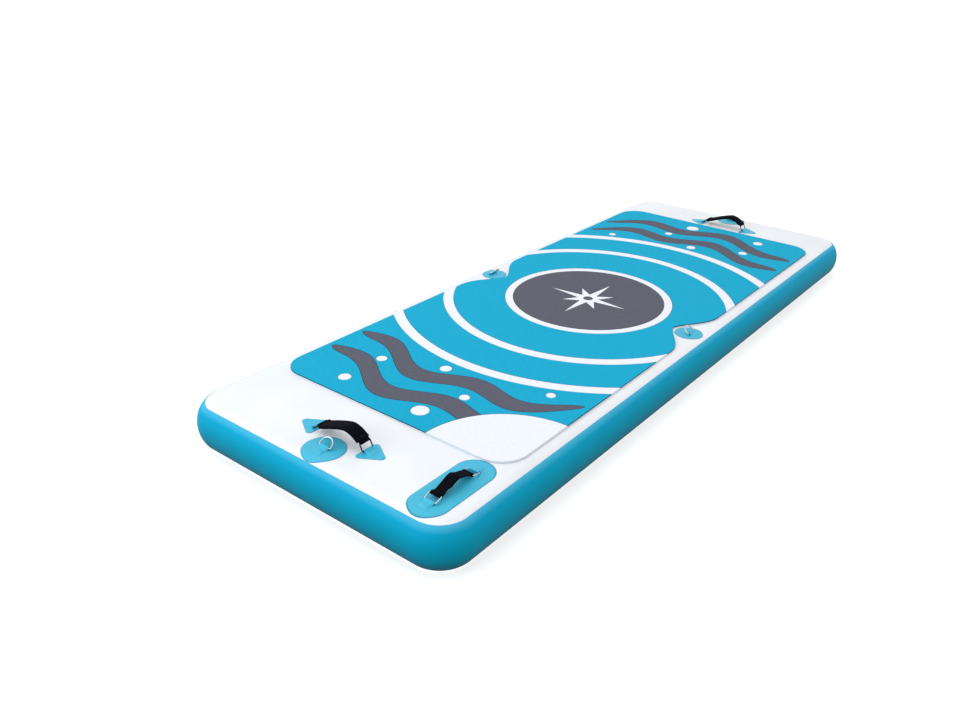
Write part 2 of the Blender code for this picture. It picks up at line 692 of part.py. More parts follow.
def make_ring(name, x, y, heading, lean, path, wire, sides, tab_length, tab_width, colour):
    """A tab on its patch and the ring that swings in it; returns the bar's height."""
    height = patch_top(x, y) + bar_height(wire, TAB_CLEARANCE)
    place = heading_place(x, y, height, heading)
    add_object(f"{name}_tab", tab_mesh(wire, tab_length, tab_width), LIGHT_TEAL, 0.4, place=place)
    metal = 1.0 if colour == STEEL else 0.0
    tilt = Matrix.Rotation(-lean, 4, "Y")
    add_object(f"{name}_ring", tube_mesh(path, wire / 2, sides, True), colour, 0.2,
               metallic=metal, place=place @ tilt, smooth=True)
    return height


def make_lashing_points():
    """Four round patches, each with a tab and a D ring that leans inboard."""
    end_y = MAT_LENGTH / 2 - END_PATCH_INSET
    side_x = MAT_WIDTH / 2 - SIDE_PATCH_INSET
    points = (
        ("near_lashing", HANDLE_SHIFT, -end_y, RING_PATCH_RADIUS, pi / 2, END_BAR_OFFSET,
         TAB_LENGTH),
        ("far_lashing", 0, end_y, RING_PATCH_RADIUS, -pi / 2, END_BAR_OFFSET, TAB_LENGTH),
        ("left_lashing", -side_x, SIDE_PATCH_SHIFT, SIDE_PATCH_RADIUS, 0, -SIDE_BAR_OFFSET,
         SIDE_TAB_LENGTH),
        ("right_lashing", side_x, SIDE_PATCH_SHIFT, SIDE_PATCH_RADIUS, pi, -SIDE_BAR_OFFSET,
         SIDE_TAB_LENGTH),
    )
    for name, x, y, radius, heading, offset, tab_length in points:
        patch = patch_mesh(circle(x, y, radius, PATCH_STEPS))
        add_object(f"{name}_patch", patch, LIGHT_TEAL, 0.4)
        bar_x, bar_y = x + offset * cos(heading), y + offset * sin(heading)
        make_ring(name, bar_x, bar_y, heading, RING_LEAN, d_ring_path(), RING_WIRE,
                  WIRE_SIDES, tab_length, TAB_WIDTH, STEEL)


def handle_patch_outline(x, y, side):
    """Rounded triangle that points outboard from a handle's loop bar."""
    corners = ((-HANDLE_PATCH_ROUND, -HANDLE_PATCH_WIDTH / 2),
               (HANDLE_PATCH_LENGTH, 0),
               (-HANDLE_PATCH_ROUND, HANDLE_PATCH_WIDTH / 2))
    slope = atan2(HANDLE_PATCH_WIDTH / 2, HANDLE_PATCH_LENGTH + HANDLE_PATCH_ROUND)
    turns = ((pi, 3 * pi / 2 + slope), (-pi / 2 + slope, pi / 2 - slope), (pi / 2 - slope, pi))
    pulls = ((1, 1), (-1, 0), (1, -1))
    points = []
    for (corner_x, corner_y), (start, end), (pull_x, pull_y) in zip(corners, turns, pulls):
        centre_x = corner_x + pull_x * HANDLE_PATCH_ROUND
        centre_y = corner_y + pull_y * HANDLE_PATCH_ROUND
        points += arc(centre_x, centre_y, HANDLE_PATCH_ROUND, start, end, 5)
    return [(x + side * px, y + py) for px, py in points]


def smooth_curve(points, step):
    """Points at about one step along a smooth curve through the given points."""
    ends = [(2 * points[0][0] - points[1][0], 2 * points[0][1] - points[1][1])]
    last = [(2 * points[-1][0] - points[-2][0], 2 * points[-1][1] - points[-2][1])]
    line = ends + list(points) + last
    fine = []
    for a, b, c, d in zip(line, line[1:], line[2:], line[3:]):
        pieces = max(1, ceil(hypot(c[0] - b[0], c[1] - b[1]) / step))
        for i in range(pieces):
            t = i / pieces
            weights = ((-t + 2 * t ** 2 - t ** 3) / 2, (2 - 5 * t ** 2 + 3 * t ** 3) / 2,
                       (t + 4 * t ** 2 - 3 * t ** 3) / 2, (-t ** 2 + t ** 3) / 2)
            fine.append(tuple(sum(w * p[k] for w, p in zip(weights, (a, b, c, d)))
                              for k in (0, 1)))
    return fine + [tuple(points[-1])]


def curve_frames(curve):
    """For each point of a curve: the point, its left-hand normal and the length so far."""
    frames = []
    length = 0
    for i, point in enumerate(curve):
        before, after = curve[max(i - 1, 0)], curve[min(i + 1, len(curve) - 1)]
        if i:
            length += hypot(point[0] - before[0], point[1] - before[1])
        run, rise = after[0] - before[0], after[1] - before[1]
        size = hypot(run, rise)
        frames.append((point, (-rise / size, run / size), length))
    return frames


def layer_offset(along, wrap):
    """How far a strap's layer lies from the middle line, at a length from the bar."""
    flat = WEBBING_THICKNESS / 2 + GAP
    share = min(1, along / WEBBING_BLEND)
    return wrap + (flat - wrap) * (3 * share ** 2 - 2 * share ** 3)


def bar_wrap(centre, normal, radius, turn):
    """Half a turn of strap round a bar, from the side that the normal points to."""
    start = atan2(normal[1], normal[0])
    return arc(centre[0], centre[1], radius, start, start + turn * pi, 6)[1:-1]


def webbing_path(curve, wrap):
    """Webbing that runs along the curve and wraps a bar at each of its ends."""
    frames = curve_frames(curve)
    total = frames[-1][2]
    main, first_tail, last_tail = [], [], []
    for (x, z), (nx, nz), along in frames:
        offset = layer_offset(min(along, total - along), wrap)
        main.append((x + nx * offset, z + nz * offset))
        if along <= WEBBING_TAIL:
            first_tail.append((x - nx * offset, z - nz * offset))
        if total - along <= WEBBING_TAIL:
            last_tail.append((x - nx * offset, z - nz * offset))
    start_normal = tuple(-value for value in frames[0][1])
    end_normal = frames[-1][1]
    path = first_tail[::-1] + bar_wrap(curve[0], start_normal, wrap, -1) + main
    return path + bar_wrap(curve[-1], end_normal, wrap, -1) + last_tail[::-1]


def single_strap_path(curve, wrap, tail, side):
    """Strap that wraps a bar at the curve's start and ends free at its other end."""
    main, back = [], []
    for (x, z), (nx, nz), along in curve_frames(curve):
        offset = side * layer_offset(along, wrap)
        main.append((x + nx * offset, z + nz * offset))
        if along <= tail:
            back.append((x - nx * offset, z - nz * offset))
    normal = curve_frames(curve)[0][1]
    start_normal = tuple(-side * value for value in normal)
    return back[::-1] + bar_wrap(curve[0], start_normal, wrap, -side) + main


def grip_mesh(curve, wrap):
    """Padded sleeve round the webbing; it opens a little wider over the bars."""
    frames = curve_frames(curve)
    total = frames[-1][2]
    outer, inner = [], []
    for (x, z), (nx, nz), along in frames:
        if not GRIP_START <= along <= total - GRIP_START:
            continue
        offset = layer_offset(min(along, total - along), wrap)
        room = offset + WEBBING_THICKNESS / 2 + GAP
        for loops, half_y, half_n in (
                (outer, GRIP_WIDTH / 2, room + GRIP_WALL),
                (inner, WEBBING_WIDTH / 2 + GAP, room)):
            share = GRIP_ROUND_SHARE if loops is outer else GRIP_BORE_ROUND_SHARE
            round_off = half_n * share
            section = rounded_rectangle(half_y, half_n, round_off, 1)
            loops.append([(x + nx * n, y, z + nz * n) for y, n in section])
    return loft(outer + inner[::-1], closed=True)


def arch_curve(start, end, base, height, run_shares, rise_shares):
    """Smooth arch from start to end through points given as shares of its span and height."""
    points = [start]
    for run, rise in zip(run_shares, rise_shares):
        points.append((start[0] + (end[0] - start[0]) * run, base + height * rise))
    return points + [end]


def wrap_radius():
    """Radius of the middle of a strap's thickness where it wraps a loop's bar."""
    return LOOP_WIRE / 2 + LOOP_CLEARANCE + WEBBING_THICKNESS / 2


def make_handle(name, y):
    """Two patches with tabs and loops, the webbing between the loops and its padded grip."""
    half = HANDLE_SPAN / 2
    bars = []
    for side, where, lean in ((-1, "left", LOW_LOOP_LEAN), (1, "right", HIGH_LOOP_LEAN)):
        x = HANDLE_SHIFT + side * half
        outline = handle_patch_outline(x, y, side)
        add_object(f"{name}_{where}_patch", patch_mesh(outline), LIGHT_TEAL, 0.4)
        heading = 0 if side < 0 else pi
        height = make_ring(f"{name}_{where}", x, y, heading, lean, loop_path(), LOOP_WIRE,
                           LOOP_SIDES, HANDLE_TAB_LENGTH, HANDLE_TAB_WIDTH, BLACK)
        bars.append((x - side * LOOP_LENGTH * cos(lean), height + LOOP_LENGTH * sin(lean)))
    coarse = arch_curve(bars[0], bars[1], MAT_THICKNESS, ARCH_HEIGHT,
                        ARCH_RUN_SHARES, ARCH_RISE_SHARES)
    curve = smooth_curve(coarse, WEBBING_STEP)
    wrap = wrap_radius()
    path = webbing_path(curve, wrap)
    place = Matrix.Translation((0, y, 0))
    webbing = ribbon_mesh(path, WEBBING_THICKNESS, [WEBBING_WIDTH / 2] * len(path))
    add_object(f"{name}_webbing", webbing, BLACK, 0.9, place=place)
    add_object(f"{name}_grip", grip_mesh(curve, wrap), BLACK, 0.9, place=place)


def tip_widths(path, half, tip):
    """Half widths along a strap whose last stretch rounds off."""
    lengths = [along for point, normal, along in curve_frames(path)]
    total = lengths[-1]
    widths = []
    for along in lengths:
        into = max(0, along - (total - tip)) / tip
        rounding = sqrt(max(0, 1 - into ** 2))
        widths.append(half * (STRAP_TIP_SHARE + (1 - STRAP_TIP_SHARE) * rounding))
    return widths


def make_accessory_strap():
    """Long patch with a loop near each end and the two straps that close over each other."""
    x = MAT_WIDTH / 2 - STRAP_INSET_X
    y = -MAT_LENGTH / 2 + STRAP_INSET_Y
    half_x, half_y = STRAP_PATCH_WIDTH / 2, STRAP_PATCH_LENGTH / 2
    outline = [(x + px, y + py) for px, py in rounded_rectangle(half_x, half_y, half_x, 7)]
    add_object("accessory_patch", patch_mesh(outline), LIGHT_TEAL, 0.4)
    half_span = STRAP_BASE_SPAN / 2
    bars = []
    for where, side, lean in (("near", -1, NEAR_STRAP_LEAN), ("far", 1, FAR_STRAP_LEAN)):
        bar_y = y + side * half_span
        height = make_ring(f"accessory_{where}", x, bar_y, -side * pi / 2, lean, loop_path(),
                           LOOP_WIRE, LOOP_SIDES, STRAP_TAB_LENGTH, HANDLE_TAB_WIDTH, STEEL)
        bars.append((bar_y - side * LOOP_LENGTH * cos(lean), height + LOOP_LENGTH * sin(lean)))
    base = patch_top(x, y)
    place = Matrix.Translation((x, 0, 0)) @ Matrix.Rotation(pi / 2, 4, "Z")
    wrap = wrap_radius()
    for name, start, end, runs, rises, side, level in (
            ("accessory_loop_strap", bars[0], bars[1], LOOP_STRAP_RUN_SHARES,
             LOOP_STRAP_RISE_SHARES, 1, base),
            ("accessory_hook_strap", bars[0], bars[1], HOOK_STRAP_RUN_SHARES,
             HOOK_STRAP_RISE_SHARES, -1, base - STRAP_LAYER)):
        coarse = arch_curve(start, end, level, STRAP_HUMP, runs, rises)
        coarse = coarse[:-1] if side > 0 else [coarse[-1]] + coarse[1:-1]
        curve = smooth_curve(coarse, WEBBING_STEP)
        path = single_strap_path(curve, wrap, STRAP_TAIL, side)
        widths = tip_widths(path, WEBBING_WIDTH / 2, STRAP_TIP_LENGTH)
        add_object(name, ribbon_mesh(path, WEBBING_THICKNESS, widths), BLACK, 0.9, place=place)


def lathe(profile, closed):
    """Turn a profile of radius and height round the local Z axis."""
    loops = [[(x, y, height) for x, y in circle(0, 0, radius, ROUND_STEPS)]
             for radius, height in profile]
    return loft(loops, closed=closed)


def spring_path():
    """Helix of the valve spring, between the floor and the button."""
    low = -FLOOR_DEPTH + GAP + SPRING_WIRE / 2
    high = -BUTTON_DEPTH - BUTTON_THICKNESS - GAP - SPRING_WIRE / 2
    count = SPRING_TURNS * SPRING_POINTS
    path = []
    for i in range(count + 1):
        angle = 2 * pi * i / SPRING_POINTS
        path.append((SPRING_RADIUS * cos(angle), SPRING_RADIUS * sin(angle),
                     low + (high - low) * i / count))
    return path


def print_spring_gap(path):
    """Print the least gap between two neighbouring turns of the spring."""
    gaps = [(Vector(a) - Vector(b)).length - SPRING_WIRE
            for a, b in zip(path, path[SPRING_POINTS:])]
    print(f"valve_spring: least gap between turns {min(gaps):.5f} m")


def make_valve():
    """Housing with flange and floor, push stem with its seal and spring, and the cap."""
    place = valve_place()
    floor_back = FLOOR_DEPTH + FLOOR_THICKNESS
    guide = STEM_RADIUS + GAP
    housing = lathe([(BORE_RADIUS, 0), (FLANGE_RADIUS, 0), (FLANGE_RADIUS, -FLANGE_THICKNESS),
                     (BARREL_RADIUS, -FLANGE_THICKNESS), (BARREL_RADIUS, -BARREL_DEPTH),
                     (BORE_RADIUS, -BARREL_DEPTH), (BORE_RADIUS, -floor_back),
                     (guide, -floor_back), (guide, -FLOOR_DEPTH), (BORE_RADIUS, -FLOOR_DEPTH)],
                    closed=True)
    hole_ring = (guide + BORE_RADIUS) / 2
    for i in range(AIR_HOLES):
        angle = 2 * pi * (i + 0.5) / AIR_HOLES
        hole = prism(circle(hole_ring * cos(angle), hole_ring * sin(angle), AIR_HOLE_RADIUS,
                            PATCH_STEPS // 2), -floor_back - CUT_OVERRUN, -FLOOR_DEPTH + GAP)
        housing = combine(housing, hole, "DIFFERENCE")
    add_object("valve_housing", housing, VALVE_GREY, 0.4, place=place)
    top = GAP + CAP_HEIGHT
    dish = top - CAP_DISH_DEPTH
    cap = lathe([(BORE_RADIUS - GAP, -CAP_PLUG_DEPTH), (BORE_RADIUS - GAP, GAP),
                 (CAP_RADIUS, GAP), (CAP_RADIUS, top), (CAP_RADIUS - CAP_RIM, top),
                 (CAP_RADIUS - CAP_RIM, dish)], closed=False)
    reach = CAP_RADIUS - CAP_RIM / 2
    bar = prism(rounded_rectangle(reach, CAP_BAR_WIDTH / 2, CAP_BAR_WIDTH / 4, 2),
                dish - GAP, top - GAP)
    cap = combine(cap, bar, "UNION")
    add_object("valve_cap", cap, VALVE_GREY, 0.4, place=place)
    stem = lathe([(BUTTON_RADIUS, -BUTTON_DEPTH), (BUTTON_RADIUS, -BUTTON_DEPTH - BUTTON_THICKNESS),
                  (STEM_RADIUS, -BUTTON_DEPTH - BUTTON_THICKNESS), (STEM_RADIUS, POPPET_TOP),
                  (POPPET_RADIUS, POPPET_TOP), (POPPET_RADIUS, POPPET_TOP - POPPET_THICKNESS)],
                 closed=False)
    add_object("valve_stem", stem, WHITE, 0.4, place=place)
    seal = lathe([(guide, SEAL_TOP), (POPPET_RADIUS, SEAL_TOP),
                  (POPPET_RADIUS, SEAL_TOP - SEAL_THICKNESS), (guide, SEAL_TOP - SEAL_THICKNESS)],
                 closed=True)
    add_object("valve_seal", seal, RUBBER, 0.7, place=place)
    path = spring_path()
    spring = tube_mesh(path, SPRING_WIRE / 2, 5, False)
    add_object("valve_spring", spring, STEEL, 0.25, metallic=1.0, place=place)
    print_spring_gap(path)


def main():
    """Build the whole mat."""
    clear_scene()
    make_body()
    make_pad()
    make_centre()
    make_inlays()
    make_lashing_points()
    make_handle("near_handle", -MAT_LENGTH / 2 + NEAR_HANDLE_INSET)
    make_handle("far_handle", MAT_LENGTH / 2 - FAR_HANDLE_INSET)
    make_accessory_strap()
    make_valve()


main()
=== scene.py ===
# %% [markdown]
# # An inflatable swim float mat
#
# The mat is a flat air body with a soft foam deck pad, two carry handles, four lashing rings,
# one accessory strap and an inflation valve.  Its construction model is loaded first and stays
# where it is.  The cells after it make the fine surfaces: coated fabric, brushed foam, woven
# webbing, padded sleeves and polished wire.  Everything is in metres.

# %% Load the construction model
import json
from math import atan2, ceil, cos, hypot, pi, radians, sin, sqrt

import bmesh
import bpy
from mathutils import Matrix, Vector


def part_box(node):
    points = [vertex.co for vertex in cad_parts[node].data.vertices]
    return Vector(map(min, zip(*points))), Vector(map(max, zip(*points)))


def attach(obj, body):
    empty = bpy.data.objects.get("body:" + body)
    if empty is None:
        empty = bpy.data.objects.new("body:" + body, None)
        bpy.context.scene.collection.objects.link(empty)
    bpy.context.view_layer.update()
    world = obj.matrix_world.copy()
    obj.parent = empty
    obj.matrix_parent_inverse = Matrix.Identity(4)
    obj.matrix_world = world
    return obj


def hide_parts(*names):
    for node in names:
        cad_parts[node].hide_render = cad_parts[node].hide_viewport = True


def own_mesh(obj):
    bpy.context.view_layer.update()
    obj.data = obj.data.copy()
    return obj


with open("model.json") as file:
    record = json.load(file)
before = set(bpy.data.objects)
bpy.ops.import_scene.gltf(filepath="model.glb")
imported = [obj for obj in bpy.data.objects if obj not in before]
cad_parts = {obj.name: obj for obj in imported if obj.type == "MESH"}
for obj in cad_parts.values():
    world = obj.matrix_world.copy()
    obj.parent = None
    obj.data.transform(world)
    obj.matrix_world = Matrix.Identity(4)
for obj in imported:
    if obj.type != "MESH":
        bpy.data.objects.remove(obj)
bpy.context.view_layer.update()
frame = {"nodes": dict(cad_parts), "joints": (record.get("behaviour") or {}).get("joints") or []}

MM = 0.001
joints = {joint["name"]: joint for joint in frame["joints"]}

# %% [markdown]
# ## The camera
#
# A camera is four things: where it stands, where it looks, how it is rolled and how long its
# lens is.  The photograph's round rings and straight edges gave all four.  The camera stands low
# at the near right corner, so the near end looks large and the far end small.  A camera looks
# down to begin with, so it is tilted up, turned round and rolled a little.

# %% Place the camera
CAMERA_PLACE = Vector((1.2236, -2.0466, 1.1285))
CAMERA_AZIMUTH = radians(38.138)
CAMERA_ELEVATION = radians(26.993)
CAMERA_ROLL = radians(1.005)
CAMERA_LENS = 32.70
SENSOR_WIDTH = 36.0

camera = bpy.data.objects.new("camera", bpy.data.cameras.new("camera"))
bpy.context.scene.collection.objects.link(camera)
camera.matrix_world = (Matrix.Translation(CAMERA_PLACE) @ Matrix.Rotation(CAMERA_AZIMUTH, 4, "Z")
                       @ Matrix.Rotation(pi / 2 - CAMERA_ELEVATION, 4, "X")
                       @ Matrix.Rotation(CAMERA_ROLL, 4, "Z"))
camera.data.lens = CAMERA_LENS
camera.data.sensor_width = SENSOR_WIDTH
bpy.context.scene.camera = camera
print("camera at", [round(value, 3) for value in camera.location])

# %% [markdown]
# ## Light and floor
#
# The photograph has a plain white ground and very soft light from above, a little stronger from
# the near left.  A picture of a studio could wrap the scene, but lamps are easier to steer.  One
# wide lamp overhead makes the soft shadows, a cooler one brightens the near end, and a white
# world fills the rest.

# %% Light the scene
TARGET = Vector((0, 0, 0.1))
WHITE = (1.0, 1.0, 1.0)
WORLD_STRENGTH = 1.0
LAMPS = {
    "sky_panel": {"place": (-1.2, -0.3, 3.4), "size": 3.2, "power": 26, "colour": WHITE},
    "near_panel": {"place": (-1.8, -3.9, 1.1), "size": 2.4, "power": 76,
                   "colour": (0.70, 0.86, 1.0)},
}


def add_lamp(name, place, size, power, colour):
    """A square soft lamp that points at the mat."""
    data = bpy.data.lights.new(name, "AREA")
    data.size = size
    data.energy = power
    data.color = colour
    lamp = bpy.data.objects.new(name, data)
    lamp.location = place
    lamp.rotation_mode = "QUATERNION"
    lamp.rotation_quaternion = (TARGET - Vector(place)).to_track_quat("-Z", "Y")
    bpy.context.scene.collection.objects.link(lamp)


for name, values in LAMPS.items():
    add_lamp(name, **values)
world = bpy.data.worlds.new("studio")
world.use_nodes = True
world.node_tree.nodes["Background"].inputs["Color"].default_value = (*WHITE, 1)
world.node_tree.nodes["Background"].inputs["Strength"].default_value = WORLD_STRENGTH
bpy.context.scene.world = world
bpy.context.scene.view_settings.view_transform = "Standard"
print("lamps:", list(LAMPS))

# %% [markdown]
# The floor glows a little, as a lit studio table does, which keeps the shadows on it pale.

# %% Lay the floor
FLOOR_SIZE = 60.0
FLOOR_ALBEDO = (0.58, 0.58, 0.58, 1.0)
FLOOR_ROUGHNESS = 0.9
FLOOR_GLOW = 0.58

bpy.ops.mesh.primitive_plane_add(size=FLOOR_SIZE)
floor = bpy.context.object
floor.name = "floor"
floor_paint = bpy.data.materials.new("floor_paint")
floor_paint.use_nodes = True
floor_shader = floor_paint.node_tree.nodes["Principled BSDF"]
floor_shader.inputs["Base Color"].default_value = FLOOR_ALBEDO
floor_shader.inputs["Roughness"].default_value = FLOOR_ROUGHNESS
floor_shader.inputs["Emission Color"].default_value = (*WHITE, 1)
floor_shader.inputs["Emission Strength"].default_value = FLOOR_GLOW
floor.data.materials.append(floor_paint)
print("floor:", FLOOR_SIZE, "m wide")

# %% [markdown]
# ## Finishes
#
# Every finish is a small node tree: a main shader, a little unevenness in its colour, and a bump
# at the scale of the real surface.  Pictures of fabric could be laid on instead, but noise from
# nodes has any scale and never shows a seam.  The helpers come first, because the finishes differ
# only in their colours and in the sizes of their grain.
#
# Colours are picked as they look on a screen.  Shaders count light instead, so each colour is
# first made linear.

# %% Screen colours
SCREEN_WHITE = 255
SCREEN_KNEE = 0.04045
SCREEN_SLOPE = 12.92
SCREEN_OFFSET = 0.055
SCREEN_POWER = 2.4


def linear(colour):
    """Screen colour, 0 to 255, as the linear colour that shaders take."""
    values = [value / SCREEN_WHITE for value in colour]
    return [value / SCREEN_SLOPE if value <= SCREEN_KNEE
            else ((value + SCREEN_OFFSET) / (1 + SCREEN_OFFSET)) ** SCREEN_POWER
            for value in values]


print("middle grey for a shader:", round(linear((128, 128, 128))[0], 3))

# %% Helpers for finishes
EVEN = (1, 1, 1)
NOISE_DETAIL = 2.0


def new_finish(name, roughness, metallic=0.0, gloss=0.5):
    """An empty finish: its material, node tree and main shader."""
    made = bpy.data.materials.new(name)
    made.use_nodes = True
    shader = made.node_tree.nodes["Principled BSDF"]
    shader.inputs["Roughness"].default_value = roughness
    shader.inputs["Metallic"].default_value = metallic
    shader.inputs["Specular IOR Level"].default_value = gloss
    return made, made.node_tree, shader


def add_node(tree, kind, **values):
    """Add a node and set the inputs that are named."""
    node = tree.nodes.new(kind)
    for name, value in values.items():
        node.inputs[name].default_value = value
    return node


def grain(tree, size, stretch=EVEN, detail=NOISE_DETAIL):
    """Noise whose cells measure about size, drawn out along the axes by stretch."""
    place = add_node(tree, "ShaderNodeTexCoord")
    mapping = add_node(tree, "ShaderNodeMapping", Scale=[1 / value for value in stretch])
    noise = add_node(tree, "ShaderNodeTexNoise", Scale=1 / size, Detail=detail)
    tree.links.new(place.outputs["Object"], mapping.inputs["Vector"])
    tree.links.new(mapping.outputs["Vector"], noise.inputs["Vector"])
    return noise.outputs["Fac"]


def surface_value(tree, source, axis):
    """One axis of the surface's Object place, its Normal or its UV map."""
    place = add_node(tree, "ShaderNodeUVMap" if source == "UV" else "ShaderNodeTexCoord")
    split = add_node(tree, "ShaderNodeSeparateXYZ")
    tree.links.new(place.outputs[source], split.inputs["Vector"])
    return split.outputs[axis]


def as_share(tree, value, low, high):
    """A value as its share of the way from low to high."""
    node = add_node(tree, "ShaderNodeMapRange")
    node.inputs["From Min"].default_value = low
    node.inputs["From Max"].default_value = high
    tree.links.new(value, node.inputs["Value"])
    return node.outputs["Result"]


print("shader nodes of Blender", bpy.app.version_string)

# %% [markdown]
# Two helpers paint.  A ramp turns a value into a colour, and a slow noise through such a ramp
# mottles a surface between two close colours.  The last helper raises the surface by a value.
# Bumps are stacked, so a fine weave can follow a slow wave.

# %% Colour and bump
MOTTLE_SHARES = (0.3, 0.7)


def tint(tree, shader, value, stops):
    """Colour the shader by a value from 0 to 1; stops are pairs of a share and a colour."""
    ramp = tree.nodes.new("ShaderNodeValToRGB")
    elements = ramp.color_ramp.elements
    while len(elements) < len(stops):
        elements.new(0.5)
    for element, (share, colour) in zip(elements, stops):
        element.position = share
        element.color = (*linear(colour), 1)
    tree.links.new(value, ramp.inputs["Fac"])
    tree.links.new(ramp.outputs["Color"], shader.inputs["Base Color"])


def mottle(tree, shader, size, low, high, stretch=EVEN, detail=NOISE_DETAIL):
    """Colour the shader unevenly between two colours, in patches of about one size."""
    tint(tree, shader, grain(tree, size, stretch, detail), list(zip(MOTTLE_SHARES, (low, high))))


def bump(tree, shader, value, depth, under=None):
    """Raise the surface by a value times depth, on top of an earlier bump."""
    node = add_node(tree, "ShaderNodeBump", Strength=1.0, Distance=depth)
    tree.links.new(value, node.inputs["Height"])
    if under is not None:
        tree.links.new(under.outputs["Normal"], node.inputs["Normal"])
    tree.links.new(node.outputs["Normal"], shader.inputs["Normal"])
    return node


print("mottling between", MOTTLE_SHARES, "of the noise")

# %% [markdown]
# The skins and the rail are PVC-coated fabric.  The coat hides most of the weave, so its bump is
# only hundredths of a millimetre deep.  A slow noise under it stands for the slight unevenness of
# an inflated wall, which is what breaks up its highlights.  The rail's colour follows the height:
# its blue darkens towards the ground as painted shade, and a lighter band under its top edge is a
# painted highlight.

# %% Coated fabric
WEAVE = 0.9 * MM
WEAVE_DEPTH = 0.04 * MM
WALL_UNEVENNESS = 60 * MM
WALL_DEPTH = 0.6 * MM
WALL_MOTTLE = 3 * WALL_UNEVENNESS
WALL_HEIGHT = 120 * MM
RAIL_WALL_DEPTH = 0.9 * MM
# Painted shade and highlight: the blue darkens towards the ground, and the top stop is a lighter
# painted highlight band under the rail's top edge.
RAIL_SHADE_AND_HIGHLIGHT_STOPS = ((0.02, (0, 32, 40)), (0.14, (0, 68, 80)), (0.36, (0, 104, 124)),
              (0.62, (0, 126, 152)), (0.84, (10, 143, 176)), (0.94, (66, 166, 200)))


def fabric_relief(tree, shader, size, depth, weave_depth=WEAVE_DEPTH):
    """Slow waves of one size, with the fabric's weave over them."""
    wall = bump(tree, shader, grain(tree, size), depth)
    bump(tree, shader, grain(tree, WEAVE), weave_depth, under=wall)


def coated_fabric(name, low, high, roughness, gloss):
    """Satin coated fabric between two close colours."""
    made, tree, shader = new_finish(name, roughness, gloss=gloss)
    mottle(tree, shader, WALL_MOTTLE, low, high)
    fabric_relief(tree, shader, WALL_UNEVENNESS, WALL_DEPTH)
    return made


def rail_fabric(name, stops, roughness, gloss):
    """Satin rail fabric with painted shade and a painted highlight by height; stops are pairs of a
    share of the mat's height and a colour.
    """
    made, tree, shader = new_finish(name, roughness, gloss=gloss)
    height = as_share(tree, surface_value(tree, "Object", "Z"), 0, WALL_HEIGHT)
    tint(tree, shader, height, stops)
    fabric_relief(tree, shader, WALL_UNEVENNESS, RAIL_WALL_DEPTH)
    return made


white_skin = coated_fabric("white_coated_fabric", (220, 223, 227), (227, 229, 232),
                           roughness=0.5, gloss=0.2)
teal_rail = rail_fabric("teal_coated_fabric", RAIL_SHADE_AND_HIGHLIGHT_STOPS, roughness=0.5, gloss=0.02)
print("coated fabrics:", white_skin.name, teal_rail.name)

# %% [markdown]
# The deck pad is closed-cell foam, cut through in its own colour and brushed so that it doesn't
# feel slippery.  Two grains make that: round cells of half a millimetre, and longer brush marks
# that run across the mat.  Each cut edge is painted darker, as painted shade on the grooves and
# the pad's sides.  The finish finds those edges by how far the surface turns away from straight up.

# %% Brushed foam
FOAM_CELL = 0.6 * MM
FOAM_CELL_DEPTH = 0.12 * MM
FOAM_MOTTLE = 4 * FOAM_CELL
FOAM_DETAIL = 4.0
BRUSH_MARK = 3 * FOAM_CELL
BRUSH_DEPTH = 0.10 * MM
BRUSH_STRETCH = (6, 1, 1)
SHADED_CUT_RISES = (0.86, 0.97)
# Each foam has two colours of its own and a third, the painted shade of its cut edges.
FOAM_COLOURS_AND_CUT_SHADES = {
    "white_foam": ((219, 222, 228), (229, 231, 236), (204, 209, 218)),
    "blue_foam": ((12, 153, 188), (20, 163, 199), (10, 62, 84)),
    "slate_foam": ((82, 83, 95), (92, 93, 106), (40, 42, 54)),
}


def paint_shade_on_cuts(tree, shader, colour):
    """Paint shade on the surfaces that don't face straight up, in another, darker colour."""
    flat = as_share(tree, surface_value(tree, "Normal", "Z"), *SHADED_CUT_RISES)
    mix = add_node(tree, "ShaderNodeMixRGB", Color1=(*linear(colour), 1))
    top = shader.inputs["Base Color"].links[0].from_socket
    tree.links.new(flat, mix.inputs["Fac"])
    tree.links.new(top, mix.inputs["Color2"])
    tree.links.new(mix.outputs["Color"], shader.inputs["Base Color"])


def brushed_foam(name, low, high, cut):
    """Dull foam with open cells, brush marks and painted shade on its cut edges."""
    made, tree, shader = new_finish(name, roughness=0.85, gloss=0.12)
    mottle(tree, shader, FOAM_MOTTLE, low, high, BRUSH_STRETCH, FOAM_DETAIL)
    paint_shade_on_cuts(tree, shader, cut)
    cells = bump(tree, shader, grain(tree, FOAM_CELL), FOAM_CELL_DEPTH)
    bump(tree, shader, grain(tree, BRUSH_MARK, BRUSH_STRETCH), BRUSH_DEPTH, under=cells)
    return made


foams = {name: brushed_foam(name, *colours) for name, colours in FOAM_COLOURS_AND_CUT_SHADES.items()}
print("foams:", list(foams))

# %% [markdown]
# Welded patches get their colour from a texture coordinate that runs from the patch's middle, 0,
# to its edge, 1.  The last few hundredths are darker: painted shade along the rim, where the weld
# presses the edge down.

# %% Welded patch
# Painted shade: the last stop darkens the patch's rim.
PATCH_SHADED_RIM_STOPS = ((0.955, (54, 172, 202)), (0.985, (42, 132, 158)))
PATCH_UNEVENNESS = 12 * MM
PATCH_DEPTH = 0.10 * MM
PATCH_WEAVE_DEPTH = 0.03 * MM


def welded_patch(name):
    """Satin fabric with a rim darkened by painted shade."""
    made, tree, shader = new_finish(name, roughness=0.4, gloss=0.3)
    tint(tree, shader, surface_value(tree, "UV", "X"), PATCH_SHADED_RIM_STOPS)
    fabric_relief(tree, shader, PATCH_UNEVENNESS, PATCH_DEPTH, PATCH_WEAVE_DEPTH)
    return made


